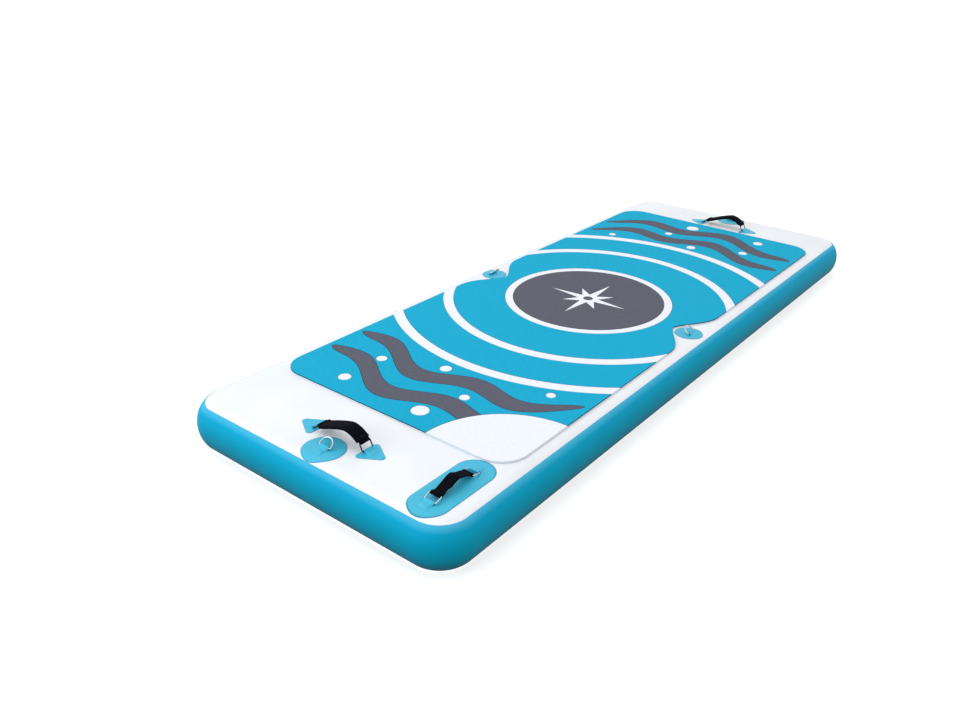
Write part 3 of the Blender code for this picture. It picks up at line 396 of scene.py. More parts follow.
patch_fabric = welded_patch("patch_fabric")
tab_fabric = coated_fabric("tab_fabric", (50, 166, 196), (54, 172, 202), roughness=0.4, gloss=0.3)
print("patch finishes:", patch_fabric.name, tab_fabric.name)

# %% [markdown]
# Webbing and touch fastener are woven, so their bump follows the strap and not the world.  The
# strap meshes carry a map in metres, along and across.  Ribs every 1.4 mm along and a fine stripe
# across give the basket look of polyester webbing.  The padded sleeve has no such map, because a
# fine knit looks the same in every direction.

# %% Webbing and knit
RIB = 1.4 * MM
RIB_DEPTH = 0.25 * MM
RIB_SHARES = (0.1, 0.9)
YARN = 0.8 * MM
YARN_DEPTH = 0.15 * MM
WAVE_RADIANS = 20
KNIT_MOTTLE = 5 * MM
KNIT_FOLD = 9 * MM
KNIT_FOLD_DEPTH = 0.5 * MM
KNIT_LOOP = 0.7 * MM
KNIT_LOOP_DEPTH = 0.15 * MM
TEXTILE_ROUGHNESS = 0.85
TEXTILE_GLOSS = 0.06


def stripes(tree, vector, direction, size):
    """Parallel bands of one size along the map's X or Y."""
    wave = add_node(tree, "ShaderNodeTexWave", Scale=1 / size / WAVE_RADIANS * 2 * pi)
    wave.wave_type = "BANDS"
    wave.bands_direction = direction
    tree.links.new(vector, wave.inputs["Vector"])
    return wave.outputs["Fac"]


def woven_webbing(name, low, high):
    """Ribbed polyester webbing."""
    made, tree, shader = new_finish(name, TEXTILE_ROUGHNESS, gloss=TEXTILE_GLOSS)
    place = add_node(tree, "ShaderNodeUVMap")
    ribs = stripes(tree, place.outputs["UV"], "X", RIB)
    yarns = stripes(tree, place.outputs["UV"], "Y", YARN)
    tint(tree, shader, ribs, list(zip(RIB_SHARES, (low, high))))
    first = bump(tree, shader, ribs, RIB_DEPTH)
    bump(tree, shader, yarns, YARN_DEPTH, under=first)
    return made


def knit_sleeve(name, low, high):
    """Soft knit over a padded sleeve."""
    made, tree, shader = new_finish(name, TEXTILE_ROUGHNESS, gloss=TEXTILE_GLOSS)
    mottle(tree, shader, KNIT_MOTTLE, low, high)
    soft = bump(tree, shader, grain(tree, KNIT_FOLD), KNIT_FOLD_DEPTH)
    bump(tree, shader, grain(tree, KNIT_LOOP), KNIT_LOOP_DEPTH, under=soft)
    return made


black_webbing = woven_webbing("black_webbing", (1, 1, 6), (9, 10, 22))
black_knit = knit_sleeve("black_knit", (1, 1, 7), (7, 8, 19))
stitch_thread = knit_sleeve("stitch_thread", (26, 28, 42), (40, 42, 58))
print("textiles:", black_webbing.name, black_knit.name, stitch_thread.name)

# %% [markdown]
# The last finishes are for hard parts.  Polished wire needs only fine drawing marks along it.
# Coated wire, moulded plastic and rubber differ in colour, gloss and grain.

# %% Metal, plastic and rubber
HARD_MOTTLE = 8


def hard_finish(name, low, high, roughness, size, depth, metallic=0.0, gloss=0.5):
    """Smooth metal or plastic with a fine grain of one size."""
    made, tree, shader = new_finish(name, roughness, metallic, gloss)
    mottle(tree, shader, HARD_MOTTLE * size, low, high)
    bump(tree, shader, grain(tree, size), depth)
    return made


polished_wire = hard_finish("polished_wire", (176, 179, 184), (206, 208, 212), roughness=0.18,
                            size=0.8 * MM, depth=0.004 * MM, metallic=1.0)
black_wire = hard_finish("black_wire", (4, 4, 9), (12, 12, 18), roughness=0.35,
                         size=0.5 * MM, depth=0.01 * MM, gloss=0.25)
valve_plastic = hard_finish("valve_plastic", (116, 121, 129), (123, 128, 136), roughness=0.45,
                            size=0.4 * MM, depth=0.02 * MM)
white_plastic = hard_finish("white_plastic", (226, 229, 232), (238, 240, 242), roughness=0.4,
                            size=0.4 * MM, depth=0.02 * MM)
black_rubber = hard_finish("black_rubber", (20, 20, 22), (32, 32, 35), roughness=0.7,
                           size=0.6 * MM, depth=0.03 * MM)
print("hard finishes:", polished_wire.name, black_wire.name, valve_plastic.name)

# %% [markdown]
# ## Building with loops
#
# Nearly every part of the mat is a row of outlines that are skinned together, which modellers
# call a loft.  Boxes with modifiers could stand in for some of them, but a loft follows the real
# outline exactly and leaves no stray faces.  So one helper puts faces between rows of vertices,
# and the others are built on it.

# %% Lofts
def skin_rows(build, rows, closed=False):
    """Faces between rows; closed joins the last to the first, open ends are capped."""
    pairs = list(zip(rows, rows[1:]))
    if closed:
        pairs.append((rows[-1], rows[0]))
    for low, high in pairs:
        for i in range(len(low)):
            j = (i + 1) % len(low)
            build.faces.new((low[i], low[j], high[j], high[i]))
    if not closed:
        build.faces.new(rows[0][::-1])
        build.faces.new(rows[-1])


def as_mesh(build):
    """The build as a new mesh."""
    mesh = bpy.data.meshes.new("mesh")
    build.to_mesh(mesh)
    build.free()
    return mesh


def solid_mesh(build):
    """The build as a new mesh whose faces all point out."""
    bmesh.ops.recalc_face_normals(build, faces=build.faces)
    return as_mesh(build)


def loft(loops, closed=False):
    """Skin loops of equal count; closed joins the last to the first, open ends are capped."""
    build = bmesh.new()
    skin_rows(build, [[build.verts.new(point) for point in loop] for loop in loops], closed)
    return solid_mesh(build)


def level_loop(outline, height):
    """A flat outline at a height."""
    return [(x, y, height) for x, y in outline]


def stack(levels, closed=False):
    """Loft through flat outlines; levels are pairs of an outline and its height."""
    return loft([level_loop(outline, height) for outline, height in levels], closed)


print("a corner at a height of 2:", level_loop([(0, 1)], 2)[0])

# %% [markdown]
# The outlines are points in the plane.  Arcs draw them, because nearly all corners of the mat are
# round, and each outline runs anticlockwise, so that the same offset always grows it.

# %% Outlines in the plane
def arc(centre_x, centre_y, radius, start, end, steps):
    """Points on an arc from the start angle to the end angle."""
    angles = [start + (end - start) * i / steps for i in range(steps + 1)]
    return [(centre_x + radius * cos(angle), centre_y + radius * sin(angle)) for angle in angles]


def circle(radius, steps, centre_x=0.0, centre_y=0.0):
    """Points round a full circle."""
    return arc(centre_x, centre_y, radius, 0, 2 * pi * (steps - 1) / steps, steps - 1)


def rounded_rectangle(half_x, half_y, radius, steps):
    """Points round a rectangle with round corners, anticlockwise from the right side."""
    points = []
    for quarter, (side_x, side_y) in enumerate(((1, 1), (-1, 1), (-1, -1), (1, -1))):
        start = quarter * pi / 2
        points += arc(side_x * (half_x - radius), side_y * (half_y - radius), radius,
                      start, start + pi / 2, steps)
    return points


def steps_between(start, end, steps):
    """Evenly spaced values after start, up to end."""
    return [start + (end - start) * i / steps for i in range(1, steps + 1)]


print("points round a square with four-step corners:", len(rounded_rectangle(2, 2, 1, 4)))

# %% [markdown]
# A finished mesh becomes a piece: it gets its finish, rides on its body, so that it moves with
# it, and hides the plain solid that it stands for.

# %% Pieces
SHARP_ANGLE = 38


def settle(piece, body, slot, nodes):
    """Link a piece, let it ride on its body and hide the solids that it stands for."""
    bpy.context.scene.collection.objects.link(piece)
    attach(piece, body)
    if nodes:
        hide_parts(*nodes)
    return piece


def add_piece(name, mesh, finish, body, slot, nodes=(), place=None, smooth=True):
    """Put a mesh in the scene as a dressed piece that rides on a body."""
    mesh.name = name
    mesh.materials.clear()
    mesh.materials.append(finish)
    if place is not None:
        mesh.transform(place)
    if smooth:
        mesh.shade_smooth()
        mesh.set_sharp_from_angle(angle=radians(SHARP_ANGLE))
    return settle(bpy.data.objects.new(name, mesh), body, slot, nodes)


print("edges over", SHARP_ANGLE, "degrees stay sharp")

# %% [markdown]
# ## The air body
#
# Two skins are held apart by threads, so the deck and the underside are flat and the wall between
# them bulges out.  Air pressure could be simulated on a flat bag, but its result is known: the
# wall's section is half an ellipse.  One loop runs round the mat at each angle of that section: 0
# is the widest line and 90 degrees is the deck.  The white top skin runs down to the seam, and
# the teal rail is a second layer that is welded over it up to 62 degrees.

# %% Measure the air body
skin_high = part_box("top_skin")[1]
rail_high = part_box("side_rail")[1]
HALF_THICKNESS = skin_high.z / 2
DECK = 2 * HALF_THICKNESS
RAIL_BULGE = 42.5 * MM
RAIL_THICKNESS = 1.5 * MM
GAP = rail_high.x - skin_high.x - RAIL_THICKNESS
RAIL_CORNER = 91.5 * MM
FLAT_HALF_WIDTH = skin_high.x - RAIL_BULGE
FLAT_HALF_LENGTH = skin_high.y - RAIL_BULGE
FLAT_CORNER = RAIL_CORNER - RAIL_THICKNESS - GAP - RAIL_BULGE
CORNER_STEPS = 20


def plan_loop(outward, height):
    """Loop round the mat, outward from the edge of its flat deck."""
    plan = rounded_rectangle(FLAT_HALF_WIDTH + outward, FLAT_HALF_LENGTH + outward,
                             FLAT_CORNER + outward, CORNER_STEPS)
    return level_loop(plan, height)


def girth_loop(angle, depth):
    """Loop at one angle of the wall's section, depth below the skin's outer face."""
    height = HALF_THICKNESS + (HALF_THICKNESS - depth) * sin(angle)
    return plan_loop((RAIL_BULGE - depth) * cos(angle), height)


print("gap between two layers:", round(GAP / MM, 2), "mm")

# %% Shape the skins and the rail
SKIN_THICKNESS = 1.2 * MM
RAIL_EDGE_ANGLE = radians(62)
RAIL_EDGE_THICKNESS = 0.25 * MM
RAIL_TAPER = radians(7)
SEAM_HALF_ANGLE = radians(1.5)
RAIL_STEPS = 26
SHOULDER_STEPS = 10
DECK_EDGE = 6 * MM


def skin_mesh(side):
    """Skin over the deck (side 1) or the underside (side -1), down to the seam."""
    angles = [SEAM_HALF_ANGLE] + steps_between(SEAM_HALF_ANGLE, RAIL_EDGE_ANGLE, RAIL_STEPS)
    angles += steps_between(RAIL_EDGE_ANGLE, pi / 2, SHOULDER_STEPS)
    inner = [girth_loop(side * angle, SKIN_THICKNESS) for angle in reversed(angles)]
    outer = [girth_loop(side * angle, 0) for angle in angles]
    deck = plan_loop(-DECK_EDGE, HALF_THICKNESS * (1 + side))
    return loft(inner + outer + [deck])


def rail_mesh():
    """The rail band, pressed thin towards its two welded edges."""
    upper = steps_between(0, RAIL_EDGE_ANGLE, RAIL_STEPS)
    angles = [-angle for angle in reversed(upper)] + [0] + upper
    outer = []
    for angle in angles:
        share = min(1, (RAIL_EDGE_ANGLE - abs(angle)) / RAIL_TAPER)
        thickness = RAIL_EDGE_THICKNESS + (RAIL_THICKNESS - RAIL_EDGE_THICKNESS) * share
        outer.append(girth_loop(angle, -GAP - thickness))
    inner = [girth_loop(angle, -GAP) for angle in reversed(angles)]
    return loft(outer + inner, closed=True)


print("girth loops of the rail:", 2 * RAIL_STEPS + 1)


# %% [markdown]
# The valve sits in the middle of the far end, so the rail and the skins need a round hole there.
# A Boolean modifier cuts it with a cylinder.  The modifier is applied at once, which leaves a
# plain mesh, and the same helper trims the deck pad's inlays later.

# %% Cut the hole for the valve
def combine(mesh, tool, operation):
    """Return mesh cut by, joined to or kept inside the tool mesh."""
    body = bpy.data.objects.new("body", mesh)
    other = bpy.data.objects.new("tool", tool)
    for item in (body, other):
        bpy.context.scene.collection.objects.link(item)
    step = body.modifiers.new("combine", "BOOLEAN")
    step.object = other
    step.operation = operation
    step.solver = "EXACT"
    graph = bpy.context.evaluated_depsgraph_get()
    result = bpy.data.meshes.new_from_object(body.evaluated_get(graph))
    for item in (body, other):
        bpy.data.objects.remove(item, do_unlink=True)
    return result


housing_low, housing_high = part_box("valve_housing")
VALVE_FACE = housing_high.y
FLANGE_RADIUS = (housing_high.x - housing_low.x) / 2
VALVE_PLACE = (Matrix.Translation((0, VALVE_FACE, (housing_high.z + housing_low.z) / 2))
               @ Matrix.Rotation(-pi / 2, 4, "X"))
HOLE_STEPS = 96
HOLE_REACH = RAIL_BULGE


def valve_hole():
    """Cutter along the valve's axis, through the rail and the skins."""
    rim = circle(FLANGE_RADIUS + GAP, HOLE_STEPS)
    tool = stack([(rim, -HOLE_REACH), (rim, HOLE_REACH)])
    tool.transform(VALVE_PLACE)
    return tool


for name, mesh, finish, slot, node in (
        ("top_fabric", skin_mesh(1), white_skin, "white_pvc", "top_skin"),
        ("bottom_fabric", skin_mesh(-1), white_skin, "white_pvc", "bottom_skin"),
        ("rail_band", rail_mesh(), teal_rail, "teal_pvc", "side_rail")):
    skin = add_piece(name, combine(mesh, valve_hole(), "DIFFERENCE"), finish, "mat", slot, [node])
    print(name, "faces:", len(skin.data.polygons))

# %% [markdown]
# ## The deck pad
#
# The pad is a white foam sheet with routed pockets, and coloured inlays lie flush in them.  The
# pattern could be painted on one flat sheet, but up close the real seams are fine V grooves,
# because each top edge has a small chamfer.  Drawing the outlines once and offsetting them gives
# the pocket, the inlay and both chamfers from the same points.

# %% Outline of the pad
pad_low, pad_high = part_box("deck_pad_base")
PAD_HALF_WIDTH = (pad_high.x - pad_low.x) / 2
PAD_HALF_LENGTH = (pad_high.y - pad_low.y) / 2
PAD_PLACE = Matrix.Translation((0, (pad_high.y + pad_low.y) / 2, 0))
PAD_FLOOR = pad_low.z
PAD_TOP = pad_high.z
PAD_CORNER_RADIUS = 70 * MM
NOTCH_LENGTH = 280 * MM
NOTCH_DEPTH = 66 * MM
NOTCH_SHIFT = -18 * MM
NOTCH_POWER = 1.4
NOTCH_STEPS = 60


def notched_side():
    """Right edge of the pad, with the notch round the side patch."""
    corner_y = PAD_HALF_LENGTH - PAD_CORNER_RADIUS
    points = [(PAD_HALF_WIDTH, -corner_y)]
    for i in range(NOTCH_STEPS + 1):
        share = 2 * i / NOTCH_STEPS - 1
        inset = NOTCH_DEPTH * (1 - sin(pi / 2 * abs(share)) ** NOTCH_POWER)
        points.append((PAD_HALF_WIDTH - inset, NOTCH_SHIFT + NOTCH_LENGTH / 2 * share))
    return points + [(PAD_HALF_WIDTH, corner_y)]


def pad_outline():
    """Outline of the pad about its own centre."""
    corner_x = PAD_HALF_WIDTH - PAD_CORNER_RADIUS
    corner_y = PAD_HALF_LENGTH - PAD_CORNER_RADIUS
    right = notched_side()
    left = [(-x, y) for x, y in reversed(right)]
    far = arc(corner_x, corner_y, PAD_CORNER_RADIUS, 0, pi / 2, CORNER_STEPS)[1:]
    far += arc(-corner_x, corner_y, PAD_CORNER_RADIUS, pi / 2, pi, CORNER_STEPS)[:-1]
    near = [(-x, -y) for x, y in far]
    return right + far + left + near


print("pad outline points:", len(pad_outline()))

# %% [markdown]
# Every solid of the pad stands over an outline that grows or shrinks a little on its way up.  An
# inlay shrinks at its top edge and a pocket's cutter grows there, and that makes the V groove.

# %% Solids from outlines
POCKET_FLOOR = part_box("inner_ring_field")[0].z - GAP
GROOVE = 0.6 * MM
OVERRUN = 10 * MM
MITRE_LIMIT = -0.6
PAD_EDGE_ROUND = 1.2 * MM
PAD_EDGE_STEPS = 4


def offset_outline(points, distance):
    """Move an anticlockwise outline outward by a distance, with mitred corners."""
    moved = []
    for i, (x, y) in enumerate(points):
        (ax, ay), (bx, by) = points[i - 1], points[(i + 1) % len(points)]
        first, second = Vector((y - ay, ax - x)), Vector((by - y, x - bx))
        first.normalize()
        second.normalize()
        push = (first + second) * distance / (1 + max(first.dot(second), MITRE_LIMIT))
        moved.append((x + push.x, y + push.y))
    return moved


def grown(outline, levels):
    """Solid over a growing outline; levels are pairs of a height and an outward distance."""
    return stack([(offset_outline(outline, distance), height) for height, distance in levels])


def raised(outline, floor, top, edge=0.0):
    """Block over an outline, with a chamfer of one edge size round its top."""
    levels = [(floor, 0), (top - edge, 0)]
    if edge:
        levels.append((top, -edge))
    return grown(outline, levels)


print("pad thickness:", round((PAD_TOP - PAD_FLOOR) / MM, 1), "mm")


# %% Inlays and pockets
def inlay(outline, floor):
    """Inlay whose chamfered top lies level with the pad's."""
    return raised(outline, floor, PAD_TOP, GROOVE)


def sunk(outline, floor):
    """Cutter for a pocket whose mouth has a chamfer."""
    return grown(outline, [(floor, 0), (PAD_TOP - GROOVE, 0), (PAD_TOP, GROOVE),
                           (PAD_TOP + OVERRUN, GROOVE)])


def left_standing(outline, narrow):
    """What a pocket goes round; narrow is the outline of its top, inside the chamfer."""
    return stack([(outline, POCKET_FLOOR - OVERRUN), (outline, PAD_TOP - GROOVE),
                  (narrow, PAD_TOP), (narrow, PAD_TOP + 2 * OVERRUN)])


def rounded_pad(lift):
    """The pad's whole body with a rounded top edge, lifted by a little."""
    levels = [(PAD_FLOOR, 0)]
    for i in range(PAD_EDGE_STEPS + 1):
        angle = pi / 2 * i / PAD_EDGE_STEPS
        levels.append((PAD_TOP + lift - PAD_EDGE_ROUND * (1 - sin(angle)),
                       -PAD_EDGE_ROUND * (1 - cos(angle))))
    return grown(pad_outline(), levels)


print("floor of the pockets:", round((POCKET_FLOOR - PAD_FLOOR) / MM, 1), "mm above its back")

# %% [markdown]
# The pattern is round rings about the pad's centre, and at each end a blue field with two slate
# wave bands and a few white bubbles.  Rings are two circles; a wave band is a sine that swells in
# the middle and tapers to its ends.  One corner of the near field stays white.

# %% Sizes of the pattern
DISC_RADIUS = 222.2 * MM
FIELD_RADII = (245.1 * MM, 398.0 * MM)
RING_RADII = (427.8 * MM, 548.2 * MM)
END_INNER_RADIUS = 579.4 * MM
END_DEPTH = PAD_HALF_LENGTH - END_INNER_RADIUS
WAVE_LENGTH = 300 * MM
BAND_WIDTH = 0.200 * END_DEPTH
BAND_SWELL = 0.085 * END_DEPTH
BAND_BOW = 0.300 * END_DEPTH
BAND_SIDE_MARGIN = 16 * MM
BAND_OFFSETS = {"inner": 0.275 * END_DEPTH, "outer": 0.660 * END_DEPTH}
BUBBLE_RADIUS = 22 * MM
CORNER_FIELD_RADIUS = 222 * MM
CIRCLE_STEPS = 240
WAVE_STEPS = 90
BUBBLE_STEPS = 48
BUBBLE_SHARES = ((-0.17, 0.928, 1.00), (0.53, 0.777, 0.65), (0.53, 0.925, 0.75),
                 (-0.28, 0.800, 0.60), (-0.70, 0.640, 0.55), (0.08, 0.705, 0.70))
print("an end field is", round(END_DEPTH, 3), "m deep")


# %% The pattern's outlines
def half_turn(points, side):
    """The same outline at the far end (side 1) or the near end (side -1)."""
    return [(side * x, side * y) for x, y in points]


def half_plane(wide, long, side):
    """Rectangle over one half of the pad."""
    return half_turn([(-wide, 0), (wide, 0), (wide, long), (-wide, long)], side)


def end_outline(side):
    """End field, out over the pad's end, before the rings are cut from it."""
    return half_plane(PAD_HALF_WIDTH + OVERRUN, PAD_HALF_LENGTH + OVERRUN, side)


def wave_outline(offset, side):
    """One swelling wave band."""
    reach = PAD_HALF_WIDTH - BAND_SIDE_MARGIN
    upper, lower = [], []
    for i in range(WAVE_STEPS + 1):
        share = -cos(pi * i / WAVE_STEPS)
        x = reach * share
        middle = END_INNER_RADIUS + offset - BAND_BOW * share ** 2
        middle += BAND_SWELL * sin(2 * pi * x / WAVE_LENGTH)
        half = BAND_WIDTH / 2 * (1 - share ** 4) ** 0.5
        upper.append((x, middle + half))
        lower.append((x, middle - half))
    return half_turn(lower + upper[-2:0:-1], side)


def corner_outline():
    """The round white field in the near right corner."""
    return circle(CORNER_FIELD_RADIUS, CIRCLE_STEPS, PAD_HALF_WIDTH, -PAD_HALF_LENGTH)


def white_islands(side):
    """What stays white in one end field: the bubbles, and the corner of the near field."""
    islands = [half_turn(circle(BUBBLE_RADIUS * size, BUBBLE_STEPS, PAD_HALF_WIDTH * across,
                                PAD_HALF_LENGTH * along), side)
               for across, along, size in BUBBLE_SHARES]
    return islands + [corner_outline()] if side < 0 else islands


print("wave band points:", len(wave_outline(BAND_OFFSETS["inner"], 1)))

# %% [markdown]
# The sheet starts whole, with its rounded edge, and the pockets are cut out of it one by one, as
# a router would.  What stays white inside a pocket is first taken out of its cutter.

# %% Cut the sheet
def lay_in(name, mesh, foam, node):
    """Put a piece of one foam in its place on the deck."""
    return add_piece(name, mesh, foams[foam], "mat", foam, [node], PAD_PLACE, smooth=False)


def ring_cutter(inner, outer):
    """Pocket cutter between two circles."""
    core = left_standing(circle(inner, CIRCLE_STEPS), circle(inner - GROOVE, CIRCLE_STEPS))
    return combine(sunk(circle(outer, CIRCLE_STEPS), POCKET_FLOOR), core, "DIFFERENCE")


def end_cutter(side):
    """Pocket cutter for an end field, without the ring and the white islands."""
    tool = sunk(end_outline(side), POCKET_FLOOR)
    for points in [circle(END_INNER_RADIUS, CIRCLE_STEPS)] + white_islands(side):
        island = left_standing(points, offset_outline(points, -GROOVE))
        tool = combine(tool, island, "DIFFERENCE")
    return tool


sheet = rounded_pad(0)
for cutter in (sunk(circle(DISC_RADIUS, CIRCLE_STEPS), POCKET_FLOOR), ring_cutter(*FIELD_RADII),
               ring_cutter(*RING_RADII), end_cutter(1), end_cutter(-1)):
    sheet = combine(sheet, cutter, "DIFFERENCE")
pad_sheet = lay_in("pad_sheet", sheet, "white_foam", "deck_pad_base")
print("sheet faces:", len(pad_sheet.data.polygons))

# %% [markdown]
# The inlays repeat the pockets a little smaller.  Those that reach the pad's edge are kept inside
# a copy of the pad's rounded body that is a hair taller, so that their flat tops stay untouched
# and only their outer edges are rounded off.

# %% Lay in the ring fields
TRIM_LIFT = 0.05 * MM
INLAY_FLOOR = POCKET_FLOOR + GAP
ENDS = (("near", -1), ("far", 1))


def trimmed(mesh):
    """Keep what lies inside the pad's rounded body."""
    return combine(mesh, rounded_pad(TRIM_LIFT), "INTERSECT")


def ring_solid(inner, outer):
    """Flat ring with chamfered top edges, a gap inside its pocket."""
    inner, outer = inner + GAP, outer - GAP
    profile = [(outer, INLAY_FLOOR), (outer, PAD_TOP - GROOVE), (outer - GROOVE, PAD_TOP),
               (inner + GROOVE, PAD_TOP), (inner, PAD_TOP - GROOVE), (inner, INLAY_FLOOR)]
    return stack([(circle(radius, CIRCLE_STEPS), height) for radius, height in profile],
                 closed=True)


def half_block(side):
    """Block over one half of the pad."""
    return raised(half_plane(2 * PAD_HALF_WIDTH, 2 * PAD_HALF_LENGTH, side), PAD_FLOOR,
                  PAD_TOP + OVERRUN)


lay_in("inner_field", trimmed(ring_solid(*FIELD_RADII)), "blue_foam", "inner_ring_field")
for end, side in ENDS:
    half_ring = combine(trimmed(ring_solid(*RING_RADII)), half_block(side), "INTERSECT")
    lay_in(f"outer_field_{end}", half_ring, "blue_foam", f"outer_ring_{end}")
print("blue rings out to", round(RING_RADII[1], 3), "m")

# %% [markdown]
# The centre disc carries a plain compass star.  Paint would do from afar, but a real inlay in a
# shallow seat shows a fine groove round its points.  Its eye shows the slate foam again.

# %% Lay in the disc and the star
STAR_POINTS = 8
STAR_RADIUS = 125 * MM
STAR_SHORT_RADIUS = 78 * MM
STAR_WAIST_RADIUS = 30 * MM
STAR_EYE_RADIUS = 14 * MM
STAR_DEPTH = 1.2 * MM


def star_outline():
    """Eight points, long along the axes and short between them."""
    points = []
    for i in range(2 * STAR_POINTS):
        long_or_short = STAR_RADIUS if i % 4 == 0 else STAR_SHORT_RADIUS
        radius = STAR_WAIST_RADIUS if i % 2 else long_or_short
        angle = pi * i / STAR_POINTS
        points.append((radius * cos(angle), radius * sin(angle)))
    return points


disc = inlay(circle(DISC_RADIUS - GAP, CIRCLE_STEPS), INLAY_FLOOR)
eye = raised(circle(STAR_EYE_RADIUS, BUBBLE_STEPS), PAD_FLOOR, PAD_TOP + 2 * OVERRUN)
seat = sunk(offset_outline(star_outline(), GAP), PAD_TOP - STAR_DEPTH)
disc = combine(disc, combine(seat, eye, "DIFFERENCE"), "DIFFERENCE")
lay_in("centre_field", disc, "slate_foam", "centre_disc")
star = inlay(star_outline(), PAD_TOP - STAR_DEPTH + GAP)
eye = raised(circle(STAR_EYE_RADIUS + GAP, BUBBLE_STEPS), PAD_FLOOR, PAD_TOP + OVERRUN)
lay_in("star_inlay", combine(star, eye, "DIFFERENCE"), "white_foam", "compass_star")
print("star corners:", len(star_outline()))


# %% [markdown]
# At each end a blue field fills the space from the outer white ring to the pad's end.  Two slate
# wave bands lie in slots in it, and white islands of the sheet show through it as bubbles.  The
# near outer band ends at the white corner.

# %% Lay in the end fields
def end_solid(side):
    """Blue field with its islands and band slots cut out."""
    field = inlay(end_outline(side), INLAY_FLOOR)
    holes = [circle(END_INNER_RADIUS + GAP, CIRCLE_STEPS)]
    holes += [offset_outline(points, GAP) for points in white_islands(side)]
    holes += [offset_outline(wave_outline(offset, side), GAP) for offset in BAND_OFFSETS.values()]
    for points in holes:
        field = combine(field, sunk(points, PAD_FLOOR), "DIFFERENCE")
    return trimmed(field)


for end, side in ENDS:
    lay_in(f"blue_field_{end}", end_solid(side), "blue_foam", f"end_field_{end}")
    for where, offset in BAND_OFFSETS.items():
        band = inlay(wave_outline(offset, side), INLAY_FLOOR)
        if side < 0:
            corner = sunk(offset_outline(corner_outline(), GAP), PAD_FLOOR)
            band = combine(band, corner, "DIFFERENCE")
        lay_in(f"wave_{end}_{where}", band, "slate_foam", f"wave_band_{end}_{where}")
    print(f"{end} end field with {len(white_islands(side))} white islands")

# %% [markdown]
# ## Welded patches
#
# A patch is a thin disc that follows the mat, over its rounded shoulder too.  A Shrinkwrap
# modifier could press a flat disc onto the mat, but the deck's height is a formula here, so each
# point is simply dropped onto it.  The patch is drawn as rings of points between its middle and
# its outline.  Its map holds the share of the way to the edge, which the finish uses for the rim
# of painted shade.

# %% Helpers for patches
MAP_NAME = "UVMap"
PATCH_THICKNESS = 1.0 * MM
PATCH_RING_SHARES = (0.12, 0.3, 0.5, 0.68, 0.82, 0.90, 0.94, 0.962, 0.975, 0.988, 1.0)
PATCH_RISE_SHARES = (1.0, 1.0, 1.0, 1.0, 1.0, 1.0, 0.95, 0.66, 0.60, 0.50, 0.0)


def deck_height(x, y):
    """Height of the top skin over a point in plan."""
    over_x = abs(x) - (FLAT_HALF_WIDTH - FLAT_CORNER)
    over_y = abs(y) - (FLAT_HALF_LENGTH - FLAT_CORNER)
    beyond = hypot(max(over_x, 0), max(over_y, 0)) - FLAT_CORNER
    if beyond <= 0:
        return DECK
    return HALF_THICKNESS * (1 + sqrt(max(0, 1 - (beyond / RAIL_BULGE) ** 2)))


def patch_mesh(centre, outline):
    """Closed thin solid over an outline that its centre sees all of."""
    build = bmesh.new()
    shares = {}

    def ring(share, rise):
        """One ring of vertices at a share of the way out, raised above the deck."""
        row = []
        for x, y in outline:
            px = centre[0] + (x - centre[0]) * share
            py = centre[1] + (y - centre[1]) * share
            vertex = build.verts.new((px, py, deck_height(px, py) + GAP + PATCH_THICKNESS * rise))
            shares[vertex] = share
            row.append(vertex)
        return row

    rows = [ring(share, rise) for share, rise in zip(PATCH_RING_SHARES, PATCH_RISE_SHARES)]
    rows += [ring(share, 0.0) for share in reversed(PATCH_RING_SHARES[:-1])]
    skin_rows(build, rows)
    layer = build.loops.layers.uv.new(MAP_NAME)
    for face in build.faces:
        for corner in face.loops:
            corner[layer].uv = (shares[corner.vert], 0)
    return solid_mesh(build)


def add_patch(name, centre, outline, node):
    """A patch that is welded to the deck."""
    add_piece(name, patch_mesh(centre, outline), patch_fabric, "mat", "patch_pvc", [node])


def middle_of(low, high):
    """Middle of a box in plan."""
    return ((low.x + high.x) / 2, (low.y + high.y) / 2)


print("rings of points in a patch:", 2 * len(PATCH_RING_SHARES) - 1)

# %% [markdown]
# ## Rings and their tabs
#
# A joint of the construction model tells where each ring's bar lies and which way its hinge axis
# points, so the ring and the tab round its bar are placed from the joint, and the patch below from
# its own box.
# A ring is one round wire.  It could be lofted too, but a curve object with a round bevel is the
# plainest way to draw it.

# %% Helpers for wire
WIRE_DETAIL = 6


def wire_ring(name, path, wire, finish, body, slot, node, place):
    """A closed round wire along a flat path, drawn as a bevelled curve."""
    line = bpy.data.curves.new(name, "CURVE")
    line.dimensions = "3D"
    line.bevel_depth = wire / 2
    line.bevel_resolution = WIRE_DETAIL
    spline = line.splines.new("POLY")
    spline.points.add(len(path) - 1)
    for point, (x, y) in zip(spline.points, path):
        point.co = (x, y, 0, 1)
    spline.use_cyclic_u = True
    line.materials.append(finish)
    line.transform(place)
    return settle(bpy.data.objects.new(name, line), body, slot, [node])


def bar_place(joint_name, heading):
    """Placement on a ring's bar: local +X points along the heading."""
    turn = Matrix.Rotation(heading, 4, "Z")
    return Matrix.Translation(joints[joint_name]["pos_m"]) @ turn


def inboard_place(joint_name):
    """Placement on a ring's bar: local +X points inboard, across the hinge's axis."""
    axis = joints[joint_name]["axis"]
    return bar_place(joint_name, atan2(axis[0], -axis[1]))


def leaned(place, lean):
    """The same placement with its +X raised by a lean."""
    return place @ Matrix.Rotation(-lean, 4, "Y")


print("a wire has", 2 * WIRE_DETAIL + 4, "sides")

# %% [markdown]
# A tab is a strap of the patch's own fabric.  It runs in under the bar, wraps it and comes back
# over itself, and both ends are pressed thin and welded down.  Seen from a step away only its
# faint outline shows.  So the tab is lofted from sections whose thickness and width follow the
# length: full round the bar, and next to nothing where it melts into the patch.

